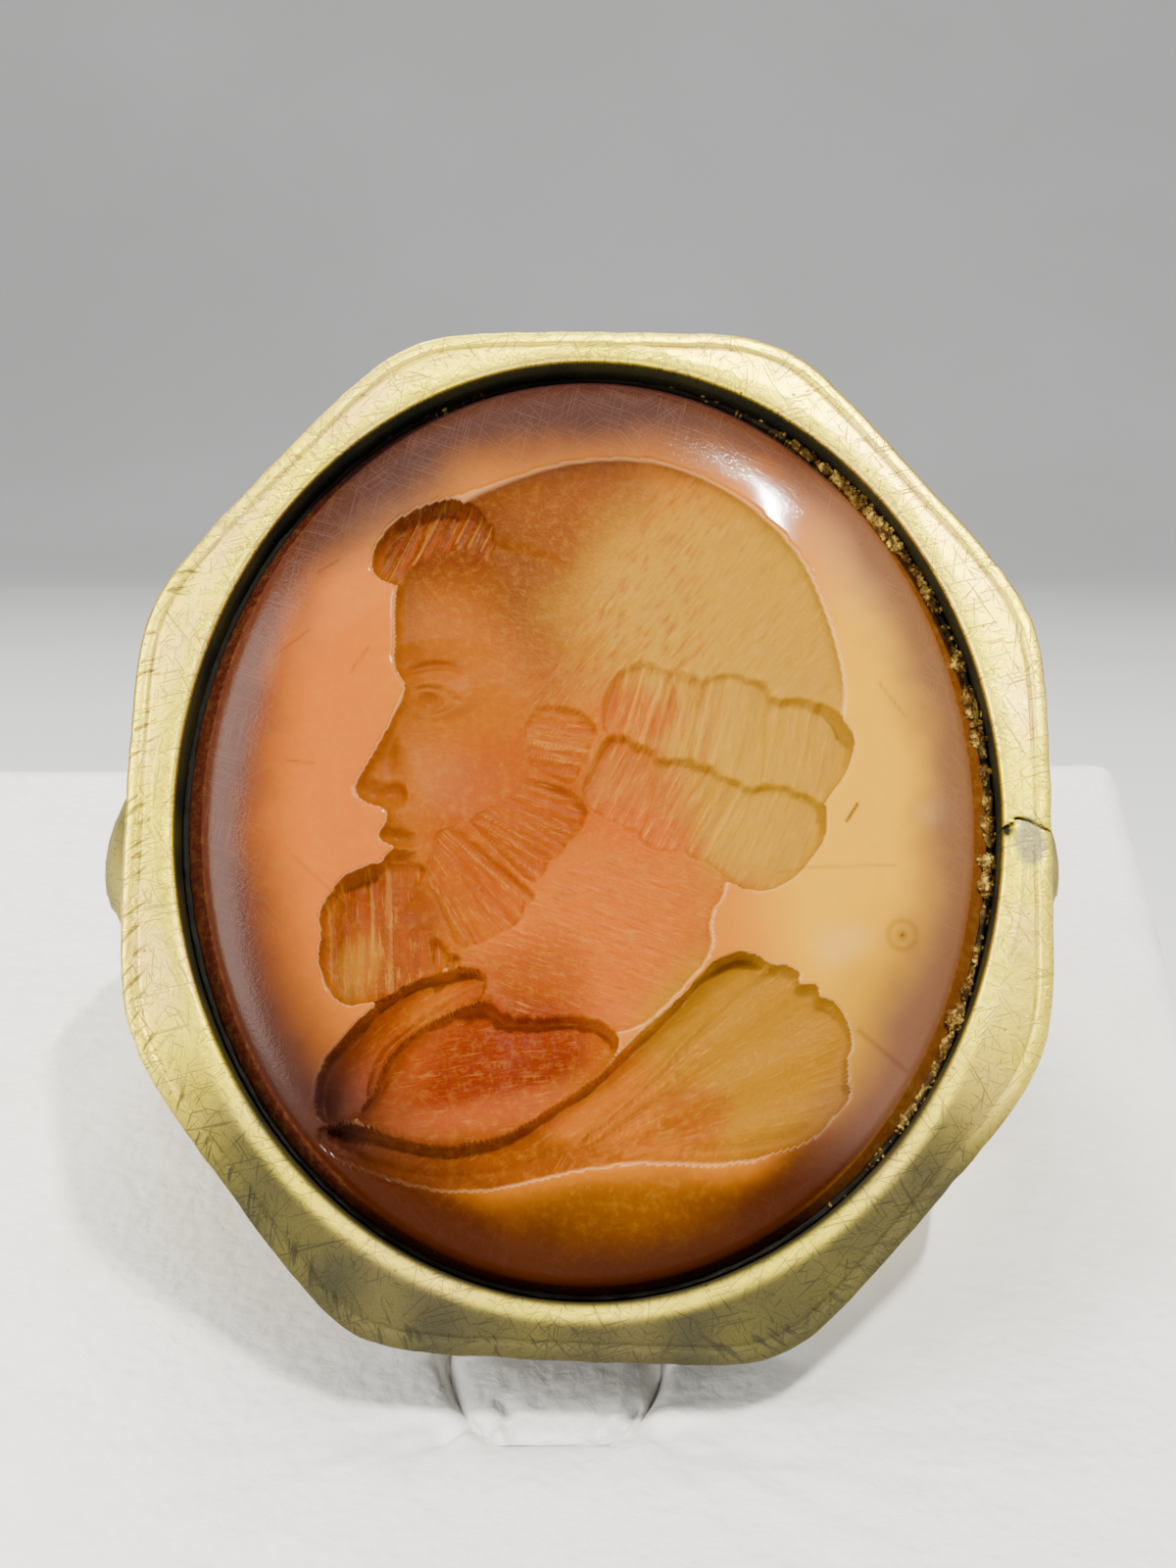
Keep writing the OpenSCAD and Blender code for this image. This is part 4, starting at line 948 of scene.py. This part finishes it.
def borderMark(x, y, q):
    s = stone
    rimW, rimH = s["girdleHalfW"] - s["rimInset"], s["girdleHalfH"] - s["rimInsetUp"]
    turn = np.degrees(np.arctan2((y - s["up"]) / rimH, x / rimW))
    angles, widths, strengths = np.array(border).T
    inset = (1 - q) * np.hypot(rimW * np.cos(np.radians(turn)), rimH * np.sin(np.radians(turn)))
    inset = inset + 0.22 * wander2(x, y, 1.4, 95) + 0.08 * wander2(x, y, 0.4, 96)
    return np.interp(turn, angles, strengths) * ease(1.3 - 1.3 * inset / np.interp(turn, angles, widths))


def flawMark(x, y):
    away = np.hypot(x - eyeFlaw[0], y - eyeFlaw[1])
    mark = np.max([0.32 * bell(away - 0.32, 0.07), 0.35 * bell(away, 0.16), bell(away, 0.07)], axis=0)
    for a, b, half, strength in flaws:
        mark = np.maximum(mark, strength * bell(offLine(x, y, a, b)[0], half))
    return mark


def stoneFinish():
    f, c = Finish("carnelian"), carnelian
    laid = f.laid()
    moved = f.bent(laid, *c["bend"], 0.5)
    cut, rimShadeAndWear, strand = f.attribute("cut"), f.attribute("border"), f.attribute("strand")

    def zoned(zones):
        colour = zones["ground"]
        for name in list(zones)[1:]:
            x, y, halfX, halfY, turn, soft, strength, tint = zones[name]
            spot = f.turned(moved, (x / laidUnit, y / laidUnit), turn, (halfX / laidUnit, halfY / laidUnit),
                name)
            flat = f.vector("MULTIPLY", spot, (1, 1, 0))
            size = f.add("VectorMath", {0: flat}, operation="LENGTH").outputs["Value"]
            colour = f.mix(f.ramp(size, 1 - soft, 1 + soft * 0.4, strength, 0.0), colour, tint)
        return colour

    mottle = f.noise(laid, c["mottlePitch"], 5.0, 0.7)
    apart = f.add("SeparateXYZ", {0: moved})
    across, up = apart.outputs["X"], apart.outputs["Y"]
    # painted shade for the cuts: darker where they are deep, in the strands' grooves and along the stroke
    # grooves
    cutShade = f.mix(f.ramp(across, 0.10, 0.18), c["deepCut"], c["deepOlive"])
    # the wheel's fine strokes along each cut
    often, long = c["strokePitch"]
    run = f.flat(f.times(f.attribute("lineAcross"), often), f.times(f.attribute("lineAlong"), long))
    stroke = f.noise(run, 1.0, 3.0, 0.6)
    lined = f.times(f.attribute("lined"), f.ramp(cut, 0.03, 0.12))
    # painted highlight: a pale line along the brink of each cut
    brinkHighlight = f.times(f.ramp(cut, 0.0, 0.03), f.ramp(cut, 0.05, 0.16, 1.0, 0.0), 0.30)
    # the border, darkened towards the rim as painted shade, with fine scratches over it
    tone = f.over(c["plum"], (f.ramp(across, -0.12, 0.20), c["mauve"]),
                  (f.ramp(up, -0.40, -0.28, 1.0, 0.0), c["umber"]), (f.ramp(up, 0.38, 0.46), c["plum"]))
    scuffed = f.times(f.streaks(laid, c["scuffs"], c["scuffLong"], c["scuffStep"], c["scuffFade"]),
                      f.ramp(rimShadeAndWear, 0.0, 1.0, 0.05, 1.0), f.ramp(up, -0.25, 0.05, 0.15, 1.0))
    # the bevel below the rim, painted darker as shade: maroon on the left, plum at the top and umber at the
    # bottom, with rust on the right
    side = f.over(c["maroon"], (f.ramp(across, -0.05, 0.25), c["rust"]),
                  (f.ramp(mottle, 0.42, 0.68, 0.0, 0.5), c["crumb"]), (f.ramp(up, 0.34, 0.46), c["plum"]),
                  (f.ramp(up, -0.46, -0.36, 1.0, 0.0), c["umber"]))
    colour = f.over(f.mix(f.ramp(cut, 0.02, 0.14), zoned(c["field"]), zoned(c["carving"])),
                    (f.ramp(mottle, 0.45, 0.75, 0.0, 0.12), c["mottle"]),
                    (f.ramp(cut, 0.55, 1.0, 0.0, 0.42), cutShade),
                    (f.ramp(strand, 0.1, 0.6, 0.0, 0.45), cutShade),
                    # painted highlights on the strands' crests and between the stroke grooves
                    (f.ramp(strand, -0.75, -0.3, 0.16, 0.0), c["crestHighlight"]),
                    (f.times(f.ramp(stroke, 0.50, 0.70), lined, 0.55), cutShade),
                    (f.times(f.ramp(stroke, 0.30, 0.44, 1.0, 0.0), lined, 0.22), c["crestHighlight"]),
                    (brinkHighlight, c["brinkHighlight"]), (rimShadeAndWear, tone), (f.times(scuffed, 0.10), c["scuff"]),
                    (f.ramp(mottle, 0.5, 0.7, 0.0, 0.12), c["plum"]),
                    (f.ramp(f.attribute("rim"), 0.985, 0.998), side), (f.attribute("flaw"), c["flaw"]))
    fine, grit = f.noise(laid, c["finePitch"], 3.0, 0.6), f.noise(laid, c["gritPitch"], 2.0, 0.6)
    rough = f.plus(f.ramp(cut, 0.02, 0.2, *c["rough"]), f.times(fine, 0.04), f.times(rimShadeAndWear, 0.06),
                   f.times(scuffed, 0.08))
    carved = f.plus(f.ramp(cut, 0.02, 0.15), f.times(rimShadeAndWear, 0.30))
    height = f.times(f.plus(grit, f.times(fine, 0.4)), carved)
    height = f.math("SUBTRACT", height, f.times(stroke, lined, c["strokeDeep"]))
    glossy = f.times(f.ramp(cut, 0.02, 0.2, *c["gloss"]), f.ramp(up, -0.42, -0.25, 0.3, 1.0))
    f.wear(Base_Color=colour, Roughness=rough, IOR=1.54, Subsurface_Weight=0.06, Subsurface_Scale=0.0006,
           Subsurface_Radius=(1.0, 0.35, 0.12), Specular_IOR_Level=glossy,
           Normal=f.bump(height, 0.5, 0.00004))
    return f.material


# Filler round the stone, piled up and crumbling on the right; its near-black colour is painted shade for the
# deep gap
filler = {
    "bottom": -2.9, "top": -1.12, "pile": 0.46, "around": 900, "lumps": 0.05,
    # heaps: direction in degrees, width, height
    "peaks": ((44, 16, 1.0), (16, 12, 0.85), (-4, 10, 0.75), (-28, 16, 0.6), (112, 10, 0.1)),
    # the gap's inner side: height, distance from the wall at the sides and at the top and bottom
    "gap": ((-1.3, 0.12, 0.12), (-0.95, 0.26, 0.19), (-0.7, 0.52, 0.32)), "bite": 0.015,
    "density": 1.7e8, "crumbSize": 0.058, "seed": 11, "crumbPitch": 16000.0, "speckPitch": 2600.0,
    "gapShade": (0.010, 0.009, 0.006), "brown": (0.13, 0.060, 0.010), "ochre": (0.66, 0.46, 0.10),
}


def cementFinish():
    f = Finish("cementOverGapShade")
    speck = f.noise(f.place(), filler["speckPitch"], 4.0, 0.7)
    tone = f.mix(f.ramp(speck, 0.45, 0.7), filler["brown"], filler["ochre"])
    shown = f.times(f.ramp(f.attribute("crumbly"), 0.10, 0.75), f.ramp(speck, 0.3, 0.5, 0.35, 1.0))
    # near black where it does not crumble, as painted shade of the deep gap, with brown and ochre crumbs on
    # top
    f.wear(Base_Color=f.mix(shown, filler["gapShade"], tone), Roughness=0.8, Specular_IOR_Level=0.15,
           Normal=f.bump(speck, 0.8, 0.00005))
    return f.material


def crumbTree():  # scatters rough crumbs where the surface's own mark says it crumbles
    tree = bpy.data.node_groups.new("cementCrumbs", "GeometryNodeTree")
    named = {}
    for name, kind in (("Surface", "Geometry"), ("Density", "Float"), ("Crumb Size", "Float"),
                       ("Seed", "Int"), ("Material", "Material")):
        named[name] = tree.interface.new_socket(name, in_out="INPUT",
            socket_type="NodeSocket" + kind).identifier
    tree.interface.new_socket("Surface", in_out="OUTPUT", socket_type="NodeSocketGeometry")

    def add(kind, inputs, **settings):  # hands back its first output
        return addNode(tree, kind, inputs, settings).outputs[0]

    given = tree.nodes.new("NodeGroupInput").outputs
    mark = add("GeometryNodeInputNamedAttribute", {"Name": "crumbly"}, data_type="FLOAT")
    dense = add("ShaderNodeMath", {0: mark, 1: given["Density"]}, operation="MULTIPLY")
    spread = add("GeometryNodeDistributePointsOnFaces", {"Mesh": given["Surface"], "Density": dense,
                                                         "Seed": given["Seed"]})
    ball = add("GeometryNodeMeshIcoSphere", {"Subdivisions": 2, "Radius": given["Crumb Size"]})
    where = add("GeometryNodeInputPosition", {})
    rough = addNode(tree, "ShaderNodeTexNoise", {"Scale": filler["crumbPitch"], "Vector": where},
        {}).outputs["Color"]
    centred = add("ShaderNodeVectorMath", {0: rough, 1: (0.5, 0.5, 0.5)}, operation="SUBTRACT")
    push = add("ShaderNodeVectorMath", {0: centred, "Scale": given["Crumb Size"]}, operation="SCALE")
    lumpy = add("GeometryNodeSetPosition", {"Geometry": ball, "Offset": push})
    turn = add("FunctionNodeRandomValue", {0: (0, 0, 0), 1: (6.28, 6.28, 6.28)}, data_type="FLOAT_VECTOR")
    size = add("FunctionNodeRandomValue", {0: (0.25, 0.25, 0.25), 1: (1.6, 1.2, 1.0)},
        data_type="FLOAT_VECTOR")
    turned = add("FunctionNodeEulerToRotation", {0: turn})
    crumbs = add("GeometryNodeInstanceOnPoints", {"Points": spread, "Instance": lumpy, "Rotation": turned,
                                                  "Scale": size})
    real = add("GeometryNodeRealizeInstances", {0: crumbs})
    marked = add("GeometryNodeStoreNamedAttribute", {"Geometry": real, "Name": "crumbly", "Value": 1.0},
                 data_type="FLOAT", domain="POINT")
    join = tree.nodes.new("GeometryNodeJoinGeometry")
    for part in (given["Surface"], marked):
        tree.links.new(part, join.inputs[0])
    dressed = add("GeometryNodeSetMaterial", {"Geometry": join.outputs[0], "Material": given["Material"]})
    addNode(tree, "NodeGroupOutput", {0: dressed}, {})
    return tree, named


def makeCement():
    c, b = filler, bezel
    t = np.linspace(-pi, pi, c["around"], endpoint=False)
    turn = np.degrees(t)
    heap = np.max([height * bell(turn - middle, width) for middle, width, height in c["peaks"]], axis=0)
    heap = np.clip(heap * (0.75 + 0.45 * wander(turn, 1.6, 81) + 0.25 * wander(turn, 0.6, 82)), 0, 1)
    top = c["top"] + c["pile"] * heap + c["lumps"] * wander(turn, 2.3, 83)
    heights, sides, ends = np.array(c["gap"]).T
    inner = (np.interp(top, heights, sides) * np.cos(t) ** 2 + np.interp(top, heights, ends) * np.sin(t) ** 2
             - c["bite"])
    # each row: distance from the wall, height, how much it crumbles
    rows = [(0.01, c["bottom"], 0), (0.01, top - 0.28, 0), (0.02, top - 0.16, heap * 0.3)]
    for part, rise, seed in ((0.3, -0.10, 93), (0.55, -0.02, 95), (0.8, 0.03, 98)):
        rows.append((0.02 + (inner - 0.02) * part, top + rise * heap + 0.03 * wander(turn, 0.9, seed), heap))
    rows += [(inner, top, heap), (0.11, c["bottom"], 0)]
    insets, z, marks = (np.stack([np.broadcast_to(row[i], t.shape) for row in rows]) for i in range(3))
    points = np.stack([(b["seatHalfW"] - insets) * np.cos(t),
                      (b["seatHalfH"] - insets) * np.sin(t) + b["seatUp"], z], axis=-1)
    piece = newPiece("cementCrumbled", onRing(points.reshape(-1, 3)), loopFaces(len(rows), len(t)),
        cementFinish())
    outward(piece)
    paint(piece, crumbly=marks.ravel())
    tree, named = crumbTree()
    crumbs = piece.modifiers.new("crumbs", "NODES")
    crumbs.node_group = tree
    for name, value in (("Density", c["density"]), ("Crumb Size", c["crumbSize"] * mm), ("Seed", c["seed"]),
                        ("Material", piece.data.materials[0])):
        crumbs[named[name]] = value
    applyModifiers(piece)
    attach(piece, "root")
    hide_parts("setting_cement")
    print("cement:", len(piece.data.polygons), "faces")


# The stand: a wedge of board covered in white leatherette, and the tongue that comes out of its face
wedge = {
    "halfBack": 20.5, "halfFront": 17.3, "round": 1.1, "columns": 198, "rows": 198, "tall": 26,
    "flatPart": 0.965,  # of each side, before the edge turns
    "slotX": -0.15, "slotHalfW": 11.4, "slotFrom": 12.0, "slotTo": 21.8, "slotDeep": 4.8, "slotSoft": 0.5,
    # where the mesh is finer across: middle, width, how much
    "fineAcross": ((-13.4, 0.6, 2.2), (9.6, 0.6, 2.2), (-2.65, 1.2, 1.6), (1.6, 1.2, 1.6)),
    # puckers from the tongue's root: side, direction, depth
    "wrinkles": ((-1, 186, 0.18), (-1, 200, 0.26), (-1, 214, 0.24), (-1, 228, 0.20), (-1, 243, 0.14),
                 (1, -4, 0.16), (1, -18, 0.24), (1, -34, 0.18), (1, -52, 0.12)),
    "twist": 0.0118, "twistAt": -5.7, "merge": 0.000004,
    "white": (0.87, 0.865, 0.84), "shaded": (0.83, 0.82, 0.79), "rough": (0.42, 0.58),
    "grainPitch": 3300.0, "creasePitch": 1500.0, "broadPitch": 380.0,
}
tongue = {
    "x": -0.75, "from": -6.85, "to": 21.0, "half": 2.45, "rootHalf": 1.2, "corner": 3.0, "thick": 1.5,
    "rise": 2.6, "roll": 0.45, "ends": 2.0,
    # folds at the root: from and to (across, up from the root), width, depth
    "folds": (((-0.80, -0.1), (-1.15, 1.3), 0.13, 0.30), ((1.18, -0.1), (1.85, 1.3), 0.13, 0.28),
              ((-1.75, 0.15), (-1.2, 0.75), 0.08, 0.16), ((-1.3, 0.1), (-1.75, 0.9), 0.08, 0.16),
              ((0.9, 0.2), (1.5, 0.75), 0.09, 0.15), ((0.5, 0.1), (1.25, 1.1), 0.11, 0.12)),
}


def leatherFinish():
    f, w = Finish("leatheretteWhite"), wedge
    mapped = f.place()
    grain = f.cells(f.place((1.0, 0.8, 1.25)), w["grainPitch"], "SMOOTH_F1")
    creases = f.noise(mapped, w["creasePitch"], 4.0, 0.6, 0.4)
    broad = f.noise(mapped, w["broadPitch"])
    f.wear(Base_Color=f.mix(f.ramp(broad, 0.3, 0.7), w["white"], w["shaded"]),
           Roughness=f.ramp(creases, 0.3, 0.7, *w["rough"]), Sheen_Weight=0.05,
           Normal=f.bump(f.plus(f.times(grain, 0.6), creases), 0.7, 0.00010, f.bump(broad, 0.25, 0.0003)))
    return f.material


def tongueHalf(s):  # half the tongue's width along it
    t = tongue
    return t["rootHalf"] + (t["half"] - t["rootHalf"]) * np.clip((s - t["from"]) / t["corner"], 0, 1) ** 0.45


def facePressed(fx, fs):  # how far the slanted face sinks or lifts, in millimetres
    w, t = wedge, tongue
    # the slot that takes the hoop
    middle, half = (w["slotFrom"] + w["slotTo"]) / 2, (w["slotTo"] - w["slotFrom"]) / 2
    inset = np.minimum(w["slotHalfW"] - np.abs(fx - w["slotX"]), half - np.abs(fs - middle))
    slot = -w["slotDeep"] * ease((inset + 0.02) / w["slotSoft"])
    # the covering rolls softly down beside the tongue, most where the tongue stands free
    side, end = np.abs(fx - t["x"]) - tongueHalf(fs), t["from"] - fs
    off = np.where((side > 0) & (end > 0), np.hypot(side, end), np.maximum(side, end))
    rise = np.maximum(0, (fs - t["from"])) * tan(radians(t["rise"]))
    deep = np.maximum(0, t["thick"] + 0.15 - rise) * (0.14 + 0.86 * ease((fs - t["from"] - 0.2) / 3.0))
    lift = np.minimum(slot, -deep * ease((t["roll"] - off) / (2 * t["roll"])))
    for side, angle, depth in w["wrinkles"]:
        a = radians(angle)
        ox, oy = t["x"] + side * 1.9, t["from"] + 0.7
        along = (fx - ox) * cos(a) + (fs - oy) * sin(a)
        across = -(fx - ox) * sin(a) + (fs - oy) * cos(a) + 0.12 * wander(along, 1.4, int(angle) % 97)
        fade = ease(along / 0.8) * np.exp(-np.clip(along, 0, 99) / 4.5)
        wide = 0.16 + 0.07 * np.clip(along, 0, 9)
        lift += depth * fade * (0.6 * bell(across - 2.1 * wide, wide) - bell(across, wide))
    lift += 0.02 * wander2(fx, fs, 1.3, 51) + 0.012 * wander2(fx, fs, 0.55, 52)
    return lift + w["twist"] * (fx - w["twistAt"]) * ease((fs - 2) / 24)


def makeStandBlock():
    w, s = wedge, seating
    slope = radians(s["faceSlope"])
    depth = s["faceLength"] * cos(slope)
    r, lid = w["round"], w["flatPart"]
    taper = (w["halfBack"] - w["halfFront"]) / depth

    def spread(n, places, spots):  # n lines from -1 to 1, closer together near the spots
        line = np.linspace(-1, 1, 4001)
        weight = 1 + sum(much * bell(places(line) - middle, width) for middle, width, much in spots)
        total = np.concatenate([[0], np.cumsum((weight[1:] + weight[:-1]) / 2)])
        return np.interp(np.linspace(0, total[-1], n), total, line)

    us = spread(w["columns"], lambda v: v * 19.2, w["fineAcross"])
    vs = spread(w["rows"], lambda v: (v + 1) / 2 * s["faceLength"] - s["footUp"],
                ((w["slotFrom"], 0.5, 2.5), (w["slotTo"], 0.5, 2.5), (tongue["from"], 1.5, 1.2)))
    ws = np.linspace(-1, 1, w["tall"])
    points, faces, start = [], [], 0
    # two sides of the cube for each pair of lines, then its edges are rounded and it is drawn into the wedge
    for first, second, order, front in ((us, vs, (0, 1, 2), 1), (us, ws, (0, 2, 1), -1),
            (vs, ws, (2, 0, 1), 1)):
        for side in (front, -front):
            a, b = np.meshgrid(first[::1 if side == front else -1], second)
            cube = np.stack([(a, b, np.full_like(a, side))[i] for i in order], axis=-1).reshape(-1, 3)
            core = np.clip(cube, -lid, lid)
            ax, ay, az = ((cube - core) / (1 - lid)).T
            across, along, up = (core / lid).T
            halfAt = w["halfFront"] + (w["halfBack"] - w["halfFront"]) * (along + 1) / 2 - r
            along = along * (depth / 2 - r)
            topZ = s["frontHeight"] + (along + depth / 2) * tan(slope) - r / cos(slope)
            normal = np.column_stack([ax, ay - np.abs(ax) * taper - np.maximum(az, 0) * tan(slope), az])
            size = np.linalg.norm(normal, axis=1, keepdims=True)
            points.append(np.column_stack([across * halfAt, along, r + (topZ - r) * (up + 1) / 2])
                          + r * normal / np.maximum(size, 1e-9))
            faces += gridFaces(*a.shape, start)
            start += len(cube)
    # into the face's own millimetres, pressed, and back
    local = offFace(np.concatenate(points))
    top = np.clip((local[:, 2] + 0.25) / 0.25, 0, 1)
    local[:, 2] += facePressed(local[:, 0], local[:, 1]) * ease(top)
    piece = newPiece("standBlock", onFace(local), faces, leatherFinish())
    outward(piece, w["merge"])
    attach(piece, "root")
    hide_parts("stand_block")
    print("stand:", len(piece.data.polygons), "faces")


def makeTongue():
    t = tongue
    ends, halfThick = t["ends"], t["thick"] / 2
    along = np.concatenate([t["from"] + ends * (1 - np.cos(np.linspace(0, pi / 2, 24))),
                            np.linspace(t["from"] + ends + 0.2, t["to"] - ends, 90),
                            t["to"] - ends + ends * np.sin(np.linspace(0.05, pi / 2 - 0.02, 24))])
    turn = np.linspace(0, 2 * pi, 72, endpoint=False)[None, :]
    s = along[:, None] + 0 * turn
    half = tongueHalf(s)
    tip = np.sqrt(np.clip(1 - ((s - (t["to"] - half)) / half).clip(0, 1) ** 2, 0, 1))
    c, d, up = np.cos(turn), np.sin(turn), s - t["from"]
    thin = (0.12 + 0.88 * ease(up / 2.4)) * halfThick
    x = np.sign(c) * np.abs(c) ** 0.5 * half * tip
    z = halfThick - thin + np.sign(d) * np.abs(d) ** 0.75 * thin * (0.35 + 0.65 * tip)
    sunk = 0.10 * bell(up, 0.25) - 0.02 * wander2(x, s, 0.9, 61) - 0.01 * wander2(x, s, 0.4, 62)
    for a, b, width, depth in t["folds"]:
        sunk += depth * bell(offLine(x, up, a, b)[0], width)
    z = z - np.where(d > 0, sunk, 0)
    local = tilted(np.stack([x, up, z - halfThick], axis=-1).reshape(-1, 3),
        t["rise"]) + [t["x"], t["from"], 0]
    rows, cols = x.shape
    faces = gridFaces(rows, cols, 0, True)
    faces += [list(range(cols))[::-1], [(rows - 1) * cols + i for i in range(cols)]]
    piece = newPiece("standTongue", onFace(local), faces, bpy.data.materials["leatheretteWhite"])
    outward(piece)
    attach(piece, "root")
    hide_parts("stand_tongue")
    print("tongue:", len(piece.data.polygons), "faces")


# Camera at the photograph's angle, a plain floor and soft studio lights
studio = {
    "cameraFromStone": (0, -54.32, 8.66), "cameraTilt": 82.0, "lens": 56.25,
    "floor": (0.74, 0.74, 0.73), "floorPale": (0.80, 0.80, 0.795), "reach": 1.6, "wall": 0.9, "bend": 0.35,
    "world": (0.86, 0.90, 0.96), "worldStrength": 0.32,
    # each light: turn right of the front, height above level, distance, width, height, watts, colour, roll
    "lights": {
        "skyBox": (4, 58, 560, 560, 400, 1.5, (1.0, 0.98, 0.95), 0),
        "keySpot": (21, 47, 300, 34, 5, 1.45, (1.0, 0.96, 0.90), 59),
        "leftBox": (-52, 20, 420, 220, 340, 2.4, (1.0, 0.97, 0.93), 0),
        "rightBox": (82, 25, 420, 120, 220, 0.5, (1.0, 0.97, 0.93), 0),
        "backBox": (-150, 62, 420, 300, 300, 2.2, (1.0, 0.99, 0.96), 0),
    },
}


def makeStudio():
    camera = bpy.data.objects.new("camera", bpy.data.cameras.new("camera"))
    camera.data.sensor_width, camera.data.lens = 36.0, studio["lens"]
    camera.data.clip_start, camera.data.clip_end = 0.002, 10.0
    aim = Vector(onRing([[0, 0, 0]])[0])
    camera.location = aim + Vector(studio["cameraFromStone"]) * mm
    camera.rotation_euler = (radians(studio["cameraTilt"]), 0, 0)
    bpy.context.scene.collection.objects.link(camera)
    bpy.context.scene.camera = camera
    reach, wall, bend = studio["reach"], studio["wall"], studio["bend"]
    rows = [(wall - bend + bend * sin(a), bend - bend * cos(a)) for a in np.linspace(0, 1, 24) * pi / 2]
    rows = [(-reach, 0.0)] + rows + [(wall, reach)]
    f = Finish("floorPale")
    shade = f.ramp(f.noise(f.place(), 6.0), 0.3, 0.7)
    f.wear(Base_Color=f.mix(shade, studio["floor"], studio["floorPale"]), Roughness=0.8)
    floor = newPiece("studioFloor", [(x, y, z) for y, z in rows for x in (-reach, reach)],
                     gridFaces(len(rows), 2), f.material)
    for name, (turn, up, away, width, height, watts, colour, roll) in studio["lights"].items():
        data = bpy.data.lights.new(name, "AREA")
        data.shape, data.size, data.size_y = "RECTANGLE", width * mm, height * mm
        data.energy, data.color = watts, colour
        lamp = bpy.data.objects.new(name, data)
        t, e = radians(turn), radians(up)
        lamp.location = aim + Vector((sin(t) * cos(e), -cos(t) * cos(e), sin(e))) * away * mm
        facing = (aim - lamp.location).to_track_quat("-Z", "Y")
        lamp.rotation_euler = (facing @ Quaternion((0, 0, 1), radians(roll))).to_euler()
        bpy.context.scene.collection.objects.link(lamp)
    world = bpy.data.worlds.new("studioWorld")
    world.use_nodes = True
    back = world.node_tree.nodes["Background"]
    back.inputs["Color"].default_value = (*studio["world"], 1)
    back.inputs["Strength"].default_value = studio["worldStrength"]
    bpy.context.scene.world = world
    print("studio ready")


makeStudio()
makeStone()
makeMount()
makeCement()
makeStandBlock()
makeTongue()
